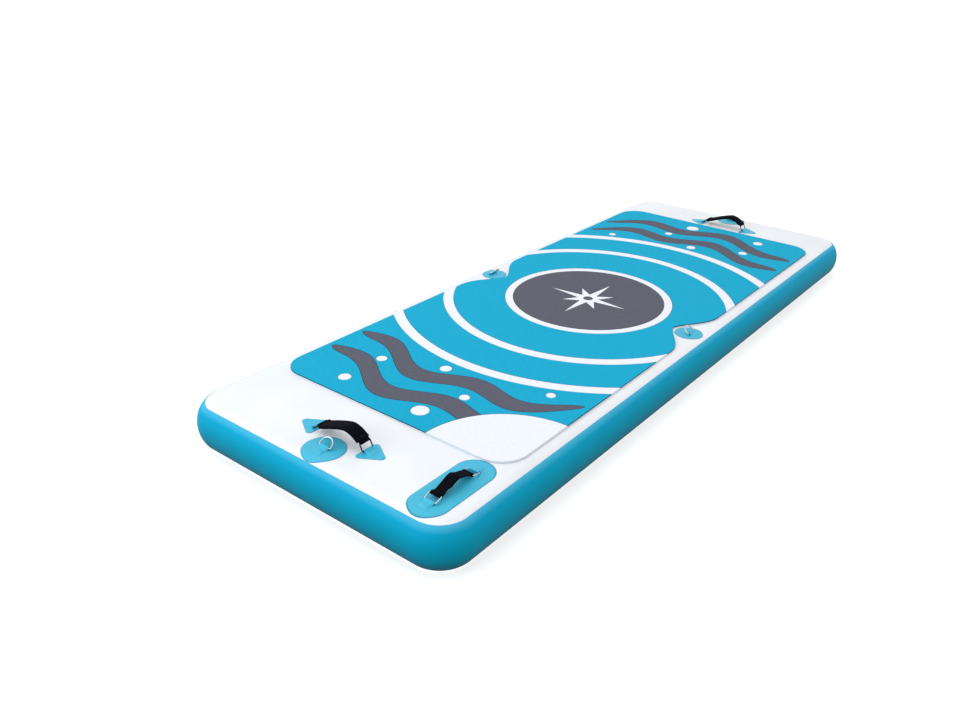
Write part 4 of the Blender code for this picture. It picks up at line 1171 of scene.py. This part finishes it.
# %% The line of a tab
TAB_THICKNESS = 1.2 * MM
TAB_PRESSED_THICKNESS = 0.92 * TAB_THICKNESS
TAB_UPPER_LAYER = 1.5 * TAB_THICKNESS
TAB_CLEARANCE = 0.5 * MM
TAB_LEAVE_ANGLE = radians(120)
TAB_ARC_STEPS = 18
TAB_WELD = 9 * MM
TAB_END_THICKNESS = 0.12 * MM
TAB_END_ROUND = 4 * MM
TAB_STEP = 1.2 * MM
TAB_REST = 0.05 * MM


def bar_height(wire):
    """Height of a ring's bar above the patch under its tab."""
    return wire / 2 + TAB_CLEARANCE + TAB_THICKNESS + GAP


def eased(share):
    """A smooth step from 0 to 1."""
    share = min(1.0, max(0.0, share))
    return 3 * share ** 2 - 2 * share ** 3


def normal_at(line, i):
    """Left-hand normal of a line in a plane, from the points on either side of point i."""
    before, after = line[max(i - 1, 0)], line[min(i + 1, len(line) - 1)]
    run, rise = after[0] - before[0], after[1] - before[1]
    size = hypot(run, rise)
    return -rise / size, run / size


def along_line(start, end, step):
    """Points from start up to, but without, end."""
    count = max(1, ceil(hypot(end[0] - start[0], end[1] - start[1]) / step))
    return [(start[0] + (end[0] - start[0]) * i / count, start[1] + (end[1] - start[1]) * i / count)
            for i in range(count)]


def tab_sections(wire, length):
    """Places in the XZ plane, thickness and layer of a tab, from its lower to its upper end."""
    deck = -bar_height(wire)
    radius = wire / 2 + TAB_CLEARANCE + TAB_THICKNESS / 2
    low = along_line((-length + 2 * TAB_END_ROUND, -radius), (0, -radius), TAB_STEP)
    wrap = arc(0, 0, radius, -pi / 2, TAB_LEAVE_ANGLE, TAB_ARC_STEPS)
    upper = deck + GAP + TAB_UPPER_LAYER + GAP
    leave_x, leave_z = wrap[-1]
    run = (leave_z - upper) * sin(TAB_LEAVE_ANGLE) / -cos(TAB_LEAVE_ANGLE)
    top = along_line(wrap[-1], (leave_x - run, upper), TAB_STEP)
    top += along_line((leave_x - run, upper), (-length, upper), TAB_STEP) + [(-length, upper)]
    sections = []
    for i, (x, z) in enumerate(low + wrap + top):
        weld = eased((x + length) / TAB_WELD)
        thickness = TAB_END_THICKNESS + (TAB_PRESSED_THICKNESS - TAB_END_THICKNESS) * weld
        resting = deck + 0.5 * thickness + TAB_REST
        height = resting + (z - resting) * weld if z < 0 else z
        sections.append((x, height, thickness, 1 if i >= len(low + wrap) else -1))
    return sections


print("half way up a smooth step:", eased(0.5))

# %% [markdown]
# The sides of a tab are pressed down as well, so its upper layer drapes over the lower one and
# hides it.

# %% The solid of a tab
TAB_DRAPE = 5 * MM
TAB_DRAPE_STEPS = 6


def tab_profile(half, thickness, pressed):
    """Section across a tab; pressed, from 0 to 1, thins its two sides towards a weld."""
    places = [half - TAB_DRAPE * (1 - i / TAB_DRAPE_STEPS) for i in range(TAB_DRAPE_STEPS + 1)]
    right = []
    for y in places:
        thin = pressed * eased(1 - (half - y) / TAB_DRAPE)
        right.append((y, (thickness + (TAB_END_THICKNESS - thickness) * thin) / 2, thin))
    over = right[::-1] + [(-y, rise, thin) for y, rise, thin in right]
    return over, [(y, -rise, thin) for y, rise, thin in reversed(over)]


def tab_mesh(wire, length, width):
    """Closed tab with thin welded ends and sides."""
    sections = tab_sections(wire, length)
    resting = -bar_height(wire) + TAB_END_THICKNESS / 2 + TAB_REST
    loops = []
    for i, (x, z, thickness, layer) in enumerate(sections):
        across_x, across_z = normal_at(sections, i)
        away = eased(-x / TAB_WELD)
        into = max(0.0, 1 - (x + length) / TAB_END_ROUND)
        half = width / 2 - TAB_END_ROUND * (1 - sqrt(max(0.0, 1 - into ** 2)))
        if layer < 0:
            half -= TAB_DRAPE * away
        over, under = tab_profile(half, thickness, away)
        loop = []
        for y, n, thin in over + under:
            middle = z + (resting - z) * thin if layer > 0 else z
            loop.append((x + across_x * n, y, middle + across_z * n))
        loops.append(loop)
    return loft(loops)


def add_tab(name, place, wire, length, width, node):
    """A tab on its patch, wrapped round a bar."""
    add_piece(name, tab_mesh(wire, length, width), tab_fabric, "mat", "patch_pvc", [node], place)


print("points round a tab's section:", 4 * (TAB_DRAPE_STEPS + 1))

# %% [markdown]
# ## Lashing points
#
# Four round patches carry steel D rings.  Each ring stands up a little and leans inboard, as the
# photograph shows.  The D is a straight bar with two tight bends and a half circle.  Three arcs
# draw it, which keeps the bar exactly on the hinge.

# %% Make the lashing points
RING_WIRE = 4.0 * MM
RING_WIDTH = 33.4 * MM
RING_LENGTH = 22.0 * MM
RING_BEND = 3.0 * MM
RING_BEND_STEPS = 8
RING_ARCH_STEPS = 32
RING_LEAN = radians(40)
RING_TAB_WIDTH = 27 * MM
RING_TAB_LENGTHS = {"near": 28 * MM, "far": 28 * MM, "left": 22 * MM, "right": 22 * MM}
PATCH_STEPS = 96


def d_ring_path():
    """Centre line of the ring: its bar lies on the Y axis and its arch points to +X."""
    half = RING_WIDTH / 2
    path = arc(RING_BEND, -half + RING_BEND, RING_BEND, pi, 3 * pi / 2, RING_BEND_STEPS)
    path += arc(RING_LENGTH - half, 0, half, -pi / 2, pi / 2, RING_ARCH_STEPS)
    path += arc(RING_BEND, half - RING_BEND, RING_BEND, pi / 2, pi, RING_BEND_STEPS)
    return path


for where, tab_length in RING_TAB_LENGTHS.items():
    low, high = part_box(f"{where}_lashing_patch")
    centre = middle_of(low, high)
    outline = circle((high.x - low.x) / 2, PATCH_STEPS, *centre)
    add_patch(f"{where}_round_patch", centre, outline, f"{where}_lashing_patch")
    place = inboard_place(f"{where}_ring_swing")
    add_tab(f"{where}_ring_tab", place, RING_WIRE, tab_length, RING_TAB_WIDTH,
            f"{where}_lashing_tab")
    wire_ring(f"{where}_d_ring_wire", d_ring_path(), RING_WIRE, polished_wire,
              f"{where}_d_ring", "steel", f"{where}_lashing_ring", leaned(place, RING_LEAN))
print("lashing points:", list(RING_TAB_LENGTHS))

# %% [markdown]
# ## Straps that follow a curve
#
# The handles and the accessory strap are drawn the same way.  A few points give the middle line,
# and a smooth curve goes through them.  A curve object could draw such a line, but the strap's
# layers need its normal and its length at every point, so the curve is worked out here.

# %% The middle line
CURVE_STEP = 2.0 * MM


def arch_points(start, end, base, height, shares):
    """Arch from start to end through points given as shares of its span and height."""
    points = [(start[0] + (end[0] - start[0]) * run, base + height * rise) for run, rise in shares]
    return [start] + points + [end]


def smooth_curve(points, step):
    """Points at about one step along a smooth curve through the given points."""
    first = (2 * points[0][0] - points[1][0], 2 * points[0][1] - points[1][1])
    last = (2 * points[-1][0] - points[-2][0], 2 * points[-1][1] - points[-2][1])
    line = [first] + list(points) + [last]
    fine = []
    for a, b, c, d in zip(line, line[1:], line[2:], line[3:]):
        pieces = max(1, ceil(hypot(c[0] - b[0], c[1] - b[1]) / step))
        for i in range(pieces):
            t = i / pieces
            weights = ((-t + 2 * t ** 2 - t ** 3) / 2, (2 - 5 * t ** 2 + 3 * t ** 3) / 2,
                       (t + 4 * t ** 2 - 3 * t ** 3) / 2, (-t ** 2 + t ** 3) / 2)
            fine.append(tuple(sum(w * p[k] for w, p in zip(weights, (a, b, c, d)))
                              for k in (0, 1)))
    return fine + [tuple(points[-1])]


def curve_frames(curve):
    """For each point of a curve: the point, its left-hand normal and the length so far."""
    frames = []
    length = 0
    for i, point in enumerate(curve):
        if i:
            length += hypot(point[0] - curve[i - 1][0], point[1] - curve[i - 1][1])
        frames.append((point, normal_at(curve, i), length))
    return frames


def curve_spot(curve, along):
    """Point and normal of a curve at a length along it."""
    frames = curve_frames(curve)
    for (here, normal, start), (there, _, end) in zip(frames, frames[1:]):
        if end >= along:
            share = (along - start) / (end - start)
            return tuple(a + (b - a) * share for a, b in zip(here, there)), normal
    return frames[-1][:2]


print("points along a curve are about", round(CURVE_STEP / MM, 1), "mm apart")

# %% [markdown]
# A strap goes round a wire loop's free bar and doubles back.  Its two layers run beside the
# middle line at a small offset, which grows where they part to go round the wire.  A handle does
# so at both ends, and each half of the accessory strap at one.

# %% Wire loops and webbing
LOOP_WIRE = 3.0 * MM
LOOP_WIDTH = 30.0 * MM
LOOP_LENGTH = 20.0 * MM
LOOP_BEND = 4.0 * MM
LOOP_BEND_STEPS = 8
LOOP_CLEARANCE = 1.6 * MM
WEBBING_WIDTH = 24.5 * MM
WEBBING_THICKNESS = 1.4 * MM
WEBBING_BLEND = 10 * MM
WRAP_STEPS = 14
WRAP_RADIUS = LOOP_WIRE / 2 + LOOP_CLEARANCE + WEBBING_THICKNESS / 2


def loop_path():
    """Centre line of a rectangular wire loop with its fixed bar on the Y axis."""
    half_x, half_y = LOOP_LENGTH / 2, LOOP_WIDTH / 2
    return [(x + half_x, y)
            for x, y in rounded_rectangle(half_x, half_y, LOOP_BEND, LOOP_BEND_STEPS)]


print("a strap goes round its wire at", round(WRAP_RADIUS / MM, 1), "mm")


# %% Lead a strap round a bar
def outer_bar(joint_name, lean, toward):
    """Where a loop's free bar lies, in the plane of its strap."""
    base = joints[joint_name]["pos_m"]
    flat = base[0] if joints[joint_name]["axis"][1] else base[1]
    return (flat + toward * LOOP_LENGTH * cos(lean), base[2] + LOOP_LENGTH * sin(lean))


def layer_offset(along):
    """How far a strap's layer lies from the middle line, at a length from the bar."""
    flat = WEBBING_THICKNESS / 2 + GAP
    return WRAP_RADIUS + (flat - WRAP_RADIUS) * eased(along / WEBBING_BLEND)


def bar_wrap(centre, normal, turn):
    """Half a turn of strap round a bar, from the side that the normal points to."""
    start = atan2(normal[1], normal[0])
    return arc(centre[0], centre[1], WRAP_RADIUS, start, start + turn * pi, WRAP_STEPS)[1:-1]


def wrapped_strap(curve, tail, side=1, both_ends=False):
    """Strap on one side of a curve that wraps the bar at its start, or at both its ends."""
    frames = curve_frames(curve)
    total = frames[-1][2]
    main, first_tail, last_tail = [], [], []
    for (x, z), (nx, nz), along in frames:
        offset = side * layer_offset(min(along, total - along) if both_ends else along)
        main.append((x + nx * offset, z + nz * offset))
        under = (x - nx * offset, z - nz * offset)
        if along <= tail:
            first_tail.append(under)
        if both_ends and total - along <= tail:
            last_tail.append(under)
    start_normal = tuple(-side * value for value in frames[0][1])
    path = first_tail[::-1] + bar_wrap(curve[0], start_normal, -side) + main
    if both_ends:
        path += bar_wrap(curve[-1], frames[-1][1], -side) + last_tail[::-1]
    return path


print("points on a wrap:", WRAP_STEPS - 1)

# %% [markdown]
# A strap is a flat strip with a map in metres along and across, which the weave of its finish
# follows.  Its thickness could be built in, but a Solidify modifier adds it and a Bevel softens
# the edges, so the strip itself stays simple and its map stays clean.

# %% Flat strips
STRIP_COLUMNS = 4
STRIP_EDGE = 0.3 * MM
STRIP_EDGE_STEPS = 2


def strip_mesh(path, half_widths):
    """Flat strip along a path in the XZ plane, with a map in metres along and across."""
    build = bmesh.new()
    layer = build.loops.layers.uv.new(MAP_NAME)
    rows = []
    for ((x, z), normal, length), half in zip(curve_frames(path), half_widths):
        across = [half * (2 * j / STRIP_COLUMNS - 1) for j in range(STRIP_COLUMNS + 1)]
        rows.append([(build.verts.new((x, y, z)), (length, y)) for y in across])
    for low, high in zip(rows, rows[1:]):
        for j in range(STRIP_COLUMNS):
            corners = (low[j], low[j + 1], high[j + 1], high[j])
            face = build.faces.new([vertex for vertex, place in corners])
            for corner, (vertex, place) in zip(face.loops, corners):
                corner[layer].uv = place
    return as_mesh(build)


def add_strip(name, path, half_widths, body, node, place):
    """A strip of black webbing with its thickness and soft edges."""
    strip = add_piece(name, strip_mesh(path, half_widths), black_webbing, body, "black_webbing",
                      [node], place)
    solid = strip.modifiers.new("thickness", "SOLIDIFY")
    solid.thickness = WEBBING_THICKNESS
    solid.offset = 0
    soft = strip.modifiers.new("edges", "BEVEL")
    soft.width = STRIP_EDGE
    soft.segments = STRIP_EDGE_STEPS
    soft.limit_method = "ANGLE"


print("points across a strip:", STRIP_COLUMNS + 1)

# %% [markdown]
# Where a layer doubles back it is sewn down.  Stitches could be a bump in the finish, but they
# stand up from the strap and catch the light, so each is a small bead of thread.

# %% Stitches
STITCH_PITCH = 2.6 * MM
STITCH_LENGTH = 2.0 * MM
STITCH_RADIUS = 0.32 * MM
STITCH_END_RADIUS = STITCH_RADIUS / 4
STITCH_SIDES = 8
STITCH_BULGE_SHARES = (-1.0, -0.6, 0.0, 0.6, 1.0)


def stitch_rows(curve, rows, width):
    """Rows of short stitches across a strap; rows are pairs of a length and an offset."""
    build = bmesh.new()
    count = int(width / STITCH_PITCH)
    for along, offset in rows:
        (x, z), (nx, nz) = curve_spot(curve, along)
        for k in range(count):
            middle = STITCH_PITCH * (k - (count - 1) / 2)
            loops = []
            for share in STITCH_BULGE_SHARES:
                rise = STITCH_RADIUS * sin(pi / 2 * (1 - abs(share) ** 3))
                y = middle + STITCH_LENGTH / 2 * share
                loops.append([build.verts.new((x + nx * (offset + v) + nz * u, y,
                                               z + nz * (offset + v) - nx * u))
                              for u, v in circle(max(rise, STITCH_END_RADIUS), STITCH_SIDES)])
            skin_rows(build, loops)
    return solid_mesh(build)


def add_stitches(name, curve, rows, width, body, place):
    """Rows of stitches that ride with their strap."""
    add_piece(name, stitch_rows(curve, rows, width), stitch_thread, body, "black_webbing",
              place=place)


print("stitches in a row across the webbing:", int(WEBBING_WIDTH / STITCH_PITCH))

# %% [markdown]
# ## Carry handles
#
# A handle is webbing between two wire loops, with a padded sleeve round it.  The left loop lies
# low and the right one stands steep, so the sleeve rises gently and drops sharply on the right.

# %% Curve of a handle
LOW_LOOP_LEAN = radians(29)
HIGH_LOOP_LEAN = radians(63)
ARCH_HEIGHT = 41 * MM
ARCH_SHARES = ((0.10, 0.42), (0.30, 0.66), (0.50, 0.87), (0.67, 0.99), (0.82, 0.88), (0.93, 0.68))


def handle_curve(left_joint, right_joint):
    """Middle line of a handle in the XZ plane, from its left bar to its right bar."""
    start = outer_bar(left_joint, LOW_LOOP_LEAN, 1)
    end = outer_bar(right_joint, HIGH_LOOP_LEAN, -1)
    points = arch_points(start, end, DECK, ARCH_HEIGHT, ARCH_SHARES)
    return smooth_curve(points, CURVE_STEP)


print("a handle rises", round(ARCH_HEIGHT / MM), "mm above the deck")

# %% [markdown]
# The sleeve could be swelled by a cloth simulation, but a short tight sleeve keeps its section.
# So it is a row of rounded rectangles along the curve, fuller in the middle than at its sewn
# ends, and small creases cross it where it bends.

# %% Sleeve of a handle
GRIP_WIDTH = 35 * MM
GRIP_WALL = 2.0 * MM
GRIP_START = 4.0 * MM
GRIP_SECTION_STEPS = 6
GRIP_ROUND_SHARE = 0.6
GRIP_BORE_ROUND_SHARE = 0.08
GRIP_SEAMS = (8 * MM, 11 * MM)
GRIP_SEAM_MARGIN = 3 * MM
CREASE_LENGTH = 11 * MM
CREASE_DEPTH = 0.35 * MM


def sleeve_crease(along):
    """Depth of the sleeve's creases at a length along it."""
    return CREASE_DEPTH * sin(2 * pi * along / CREASE_LENGTH) ** 2


def sleeve_surface(inside, along):
    """How far the sleeve's outer face lies from the middle line."""
    return layer_offset(inside) + WEBBING_THICKNESS / 2 + GAP + GRIP_WALL - sleeve_crease(along)


def grip_mesh(curve):
    """Padded sleeve round the webbing, fuller between its ends."""
    frames = curve_frames(curve)
    total = frames[-1][2]
    outer, inner = [], []
    for (x, z), (nx, nz), along in frames:
        inside = min(along, total - along)
        if inside < GRIP_START:
            continue
        room = layer_offset(inside) + WEBBING_THICKNESS / 2 + GAP
        for loops, half_y, half_n, share in (
                (outer, GRIP_WIDTH / 2 - sleeve_crease(along), sleeve_surface(inside, along),
                 GRIP_ROUND_SHARE),
                (inner, WEBBING_WIDTH / 2 + GAP, room, GRIP_BORE_ROUND_SHARE)):
            section = rounded_rectangle(half_y, half_n, half_n * share, GRIP_SECTION_STEPS)
            loops.append([(x + nx * n, y, z + nz * n) for y, n in section])
    return loft(outer + inner[::-1], closed=True)


def seam_rows(curve):
    """Where the sleeve's seams lie, from both ends, and how far out."""
    total = curve_frames(curve)[-1][2]
    return [(spot, sleeve_surface(min(spot, total - spot), spot))
            for seam in GRIP_SEAMS for spot in (seam, total - seam)]


print("sleeve:", round(GRIP_WIDTH / MM), "mm wide")

# %% [markdown]
# Each end of a handle has a triangular patch, a tab and a coated wire loop.  The right end could
# be a mirrored copy of the left, but its loop stands at another angle.  So one function makes an
# end, and it is called for the left and the right end of both handles.

# %% Ends of a handle
LOOP_TAB_LENGTH = 24 * MM
LOOP_TAB_WIDTH = 24.5 * MM
HANDLE_PATCH_ROUND = 9 * MM
HANDLE_PATCH_STEPS = 12


def handle_patch_outline(low, high, side):
    """Rounded triangle inside a box in plan, with its point outboard."""
    mirror = -1 if side == "left" else 1
    length, width = high.x - low.x, high.y - low.y
    base = low.x if side == "right" else high.x
    middle = (low.y + high.y) / 2
    round_off = HANDLE_PATCH_ROUND
    slope = atan2(width / 2, length)
    corners = ((round_off, -width / 2 + round_off, pi, 3 * pi / 2 + slope),
               (length - round_off, 0, -pi / 2 + slope, pi / 2 - slope),
               (round_off, width / 2 - round_off, pi / 2 - slope, pi))
    points = []
    for x, y, start, end in corners:
        points += arc(x, y, round_off, start, end, HANDLE_PATCH_STEPS)
    return [(base + mirror * x, middle + y) for x, y in points]


def add_strap_loop(name, node, finish, body, slot, place, lean):
    """A tab and the wire loop that it holds, at a lean."""
    add_tab(f"{name}_tab", place, LOOP_WIRE, LOOP_TAB_LENGTH, LOOP_TAB_WIDTH, f"{node}_tab")
    wire_ring(f"{name}_loop", loop_path(), LOOP_WIRE, finish, body, slot, f"{node}_ring",
              leaned(place, lean))


def add_handle_end(end, side, joint_name, lean, body):
    """Patch, tab and wire loop at one end of a handle."""
    low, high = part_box(f"{end}_handle_{side}_patch")
    outline = handle_patch_outline(low, high, side)
    centre = ((2 * outline[0][0] + low.x + high.x) / 4, (low.y + high.y) / 2)
    add_patch(f"{end}_{side}_handle_patch", centre, outline, f"{end}_handle_{side}_patch")
    place = bar_place(joint_name, 0 if side == "left" else pi)
    add_strap_loop(f"{end}_{side}_handle", f"{end}_handle_{side}", black_wire, body,
                   "black_metal", place, lean)


# %% Put the handles together
WEBBING_TAIL = 30 * MM

for end in ("near", "far"):
    left_joint, right_joint = f"{end}_left_loop_turn", f"{end}_handle_sway"
    add_handle_end(end, "left", left_joint, LOW_LOOP_LEAN, f"{end}_left_loop")
    add_handle_end(end, "right", right_joint, HIGH_LOOP_LEAN, f"{end}_right_loop")
    curve = handle_curve(left_joint, right_joint)
    path = wrapped_strap(curve, WEBBING_TAIL, both_ends=True)
    place = Matrix.Translation((0, joints[right_joint]["pos_m"][1], 0))
    body = f"{end}_handle"
    add_strip(f"{end}_handle_strap", path, [WEBBING_WIDTH / 2] * len(path), body,
              f"{end}_handle_webbing", place)
    grip = add_piece(f"{end}_handle_sleeve", grip_mesh(curve), black_knit, body,
                     "black_neoprene", [f"{end}_handle_grip"], place)
    add_stitches(f"{end}_sleeve_stitches", curve, seam_rows(curve),
                 GRIP_WIDTH - 2 * GRIP_SEAM_MARGIN, body, place)
    print(f"{end} handle, along its curve:", round(curve_frames(curve)[-1][2], 3), "m")

# %% [markdown]
# ## The accessory strap
#
# At the near right corner a long patch carries two steel loops.  A strap with loop fastener comes
# from the near one and closes over a strap with hook fastener from the far one.  Together they
# hump up in the middle, and their round tips stand off a little.  Each half is a strip of its
# own, because the real ones peel apart.

# %% Patch and loops of the accessory strap
NEAR_STRAP_LEAN = radians(18)
FAR_STRAP_LEAN = radians(9)
STRAP_PATCH_STEPS = 24

low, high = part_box("accessory_patch")
centre = middle_of(low, high)
half_x, half_y = (high.x - low.x) / 2, (high.y - low.y) / 2
outline = [(centre[0] + x, centre[1] + y)
           for x, y in rounded_rectangle(half_x, half_y, half_x, STRAP_PATCH_STEPS)]
add_patch("strap_patch", centre, outline, "accessory_patch")
strap_bars = []
for where, joint_name, lean, toward, body in (
        ("near", "accessory_loop_lift", NEAR_STRAP_LEAN, 1, "accessory_near_loop"),
        ("far", "hook_strap_lift", FAR_STRAP_LEAN, -1, "hook_strap")):
    add_strap_loop(f"strap_{where}", f"accessory_{where}", polished_wire, body, "steel",
                   inboard_place(joint_name), lean)
    strap_bars.append(outer_bar(joint_name, lean, toward))
print("distance between the free bars:", round(strap_bars[1][0] - strap_bars[0][0], 3), "m")

# %% Straps with touch fastener
STRAP_TAIL = 16 * MM
STRAP_HUMP = 24 * MM
STRAP_TIP_LENGTH = 10 * MM
STRAP_TIP_SHARE = 0.35
STRAP_LAYER = 2.4 * MM
STRAP_SEAMS = (8 * MM, 12 * MM)
STRAP_SEAM_MARGIN = 2 * MM
LOOP_STRAP_SHARES = ((0.12, 0.39), (0.24, 0.56), (0.36, 0.76), (0.47, 0.93), (0.56, 1.00),
                     (0.63, 0.96))
HOOK_STRAP_SHARES = ((0.88, 0.60), (0.76, 0.74), (0.64, 0.87), (0.54, 0.90), (0.44, 0.79),
                     (0.34, 0.62), (0.25, 0.47))
print("hump:", round(STRAP_HUMP / MM), "mm high")


# %% Lay the two straps
def tip_widths(path):
    """Half widths along a strap whose last stretch rounds off."""
    lengths = [along for point, normal, along in curve_frames(path)]
    total = lengths[-1]
    widths = []
    for along in lengths:
        into = max(0, along - (total - STRAP_TIP_LENGTH)) / STRAP_TIP_LENGTH
        rounding = sqrt(max(0, 1 - into ** 2))
        widths.append(WEBBING_WIDTH / 2 * (STRAP_TIP_SHARE + (1 - STRAP_TIP_SHARE) * rounding))
    return widths


patch_level = DECK + GAP + PATCH_THICKNESS
strap_place = Matrix.Translation((centre[0], 0, 0)) @ Matrix.Rotation(pi / 2, 4, "Z")
for name, shares, side, level in (
        ("loop_strap", LOOP_STRAP_SHARES, 1, patch_level),
        ("hook_strap", HOOK_STRAP_SHARES, -1, patch_level - STRAP_LAYER)):
    points = arch_points(*strap_bars, level, STRAP_HUMP, shares)
    points = points[:-1] if side > 0 else [points[-1]] + points[1:-1]
    curve = smooth_curve(points, CURVE_STEP)
    path = wrapped_strap(curve, STRAP_TAIL, side)
    add_strip(f"{name}_webbing", path, tip_widths(path), name, f"accessory_{name}", strap_place)
    rows = [(seam, side * (layer_offset(seam) + WEBBING_THICKNESS / 2)) for seam in STRAP_SEAMS]
    add_stitches(f"{name}_stitches", curve, rows, WEBBING_WIDTH - 2 * STRAP_SEAM_MARGIN, name,
                 strap_place)
    print(f"{name} has {len(path)} sections")

# %% [markdown]
# ## The valve
#
# The valve sits in the far end's wall.  Its housing is turned: one profile goes round the axis,
# and its mouth and flange have soft edges.  A Screw modifier could turn it, but the loft helper
# does it as well and leaves a plain mesh, through which the air holes are drilled.

# %% Turn the housing
VALVE_STEPS = 192
VALVE_ROUND_STEPS = 6
BORE_RADIUS = 17 * MM
BARREL_RADIUS = 21 * MM
FLANGE_THICKNESS = 2.5 * MM
FLANGE_ROUND = 1.2 * MM
VALVE_FLOOR_DEPTH = 26 * MM
VALVE_FLOOR_THICKNESS = 3 * MM
STEM_GUIDE_RADIUS = 3.3 * MM
AIR_HOLE_RADIUS = 3.6 * MM
AIR_HOLES = 4

barrel_depth = VALVE_FACE - housing_low.y
floor_back = VALVE_FLOOR_DEPTH + VALVE_FLOOR_THICKNESS
mouth = arc(BORE_RADIUS + FLANGE_ROUND, -FLANGE_ROUND, FLANGE_ROUND, pi, pi / 2,
            VALVE_ROUND_STEPS)
lip = arc(FLANGE_RADIUS - FLANGE_ROUND, -FLANGE_ROUND, FLANGE_ROUND, pi / 2, 0,
          VALVE_ROUND_STEPS)
profile = mouth + lip + [
    (FLANGE_RADIUS, -FLANGE_THICKNESS), (BARREL_RADIUS, -FLANGE_THICKNESS),
    (BARREL_RADIUS, -barrel_depth), (BORE_RADIUS, -barrel_depth), (BORE_RADIUS, -floor_back),
    (STEM_GUIDE_RADIUS, -floor_back), (STEM_GUIDE_RADIUS, -VALVE_FLOOR_DEPTH),
    (BORE_RADIUS, -VALVE_FLOOR_DEPTH)]
housing = stack([(circle(radius, VALVE_STEPS), height) for radius, height in profile], closed=True)
for k in range(AIR_HOLES):
    angle = 2 * pi * (k + 0.5) / AIR_HOLES
    ring = (STEM_GUIDE_RADIUS + BORE_RADIUS) / 2
    rim = circle(AIR_HOLE_RADIUS, BUBBLE_STEPS, ring * cos(angle), ring * sin(angle))
    drill = stack([(rim, -floor_back - GAP), (rim, GAP - VALVE_FLOOR_DEPTH)])
    housing = combine(housing, drill, "DIFFERENCE")
add_piece("valve_body", housing, valve_plastic, "mat", "valve_plastic", ["valve_housing"],
          VALVE_PLACE)
print("barrel depth:", round(barrel_depth, 4))

# %% [markdown]
# The cap's rim is fluted for wet fingers, and a bar across its dish helps to turn it.  Flutes
# could be cut one by one, but circles whose radius dips in and out make all of them at once.

# %% Make the cap
CAP_FLUTES = 24
CAP_FLUTE_DEPTH = 0.7 * MM
CAP_ROUND = 0.8 * MM
CAP_ROUND_STEPS = 4
CAP_RIM = 4 * MM
CAP_DISH_DEPTH = 2.2 * MM
CAP_BAR_WIDTH = 6 * MM
CAP_BAR_ROUND = CAP_BAR_WIDTH / 3


def fluted(radius, height):
    """Loop of the cap's rim with shallow finger flutes."""
    loop = []
    for i in range(VALVE_STEPS):
        angle = 2 * pi * i / VALVE_STEPS
        dip = CAP_FLUTE_DEPTH * (0.5 - 0.5 * cos(CAP_FLUTES * angle)) ** 2
        loop.append(((radius - dip) * cos(angle), (radius - dip) * sin(angle), height))
    return loop


cap_low, cap_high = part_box("valve_cap")
cap_radius = (cap_high.x - cap_low.x) / 2
cap_top = cap_high.y - VALVE_FACE
cap_plug = cap_low.y - VALVE_FACE
dish = cap_top - CAP_DISH_DEPTH
plug = circle(BORE_RADIUS - GAP, VALVE_STEPS)
loops = [level_loop(plug, cap_plug), level_loop(plug, GAP)]
loops += [fluted(cap_radius, GAP), fluted(cap_radius, cap_top - CAP_ROUND)]
loops += [fluted(cap_radius - CAP_ROUND * (1 - cos(turn)), cap_top - CAP_ROUND * (1 - sin(turn)))
          for turn in steps_between(0, pi / 2, CAP_ROUND_STEPS)]
loops += [level_loop(circle(cap_radius - CAP_RIM, VALVE_STEPS), cap_top),
          level_loop(circle(cap_radius - CAP_RIM - CAP_ROUND, VALVE_STEPS), dish)]
bar = rounded_rectangle(cap_radius - CAP_RIM / 2, CAP_BAR_WIDTH / 2, CAP_BAR_ROUND,
                        VALVE_ROUND_STEPS)
cap = combine(loft(loops), raised(bar, dish - GAP, cap_top - GAP, CAP_ROUND), "UNION")
add_piece("valve_screw_cap", cap, valve_plastic, "cap", "valve_plastic", ["valve_cap"],
          VALVE_PLACE)
print("cap radius:", round(cap_radius, 4))

# %% [markdown]
# The spring stands between the housing's floor and the push button.  It is a round wire wound on
# a helix.

# %% Wind the valve spring
SPRING_WIRE = 0.9 * MM
SPRING_TURNS = 5
SPRING_TURN_STEPS = 24
SPRING_SIDES = 10

spring_low, spring_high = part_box("valve_spring")
coil_radius = (spring_high.x - spring_low.x - SPRING_WIRE) / 2
coil_start = spring_low.y - VALVE_FACE + SPRING_WIRE / 2
coil_end = spring_high.y - VALVE_FACE - SPRING_WIRE / 2
coil_steps = SPRING_TURNS * SPRING_TURN_STEPS
coil_loops = []
for i in range(coil_steps + 1):
    angle = 2 * pi * i / SPRING_TURN_STEPS
    level = coil_start + (coil_end - coil_start) * i / coil_steps
    coil_loops.append([((coil_radius + out) * cos(angle), (coil_radius + out) * sin(angle),
                        level + up) for out, up in circle(SPRING_WIRE / 2, SPRING_SIDES)])
spring = add_piece("valve_coil", loft(coil_loops), polished_wire, "mat", "spring_steel",
                   ["valve_spring"], VALVE_PLACE)
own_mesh(spring)

# %% [markdown]
# The stem, the seal and the core inside already have the right shape, so they only get their
# finishes.

# %% Finish what lies inside
for node, finish in (("valve_stem", white_plastic), ("valve_seal", black_rubber),
                     ("drop_stitch_core", foams["white_foam"])):
    part = frame["nodes"][node]
    part.data.materials.clear()
    part.data.materials.append(finish)
    print(node, "is finished in", finish.name)
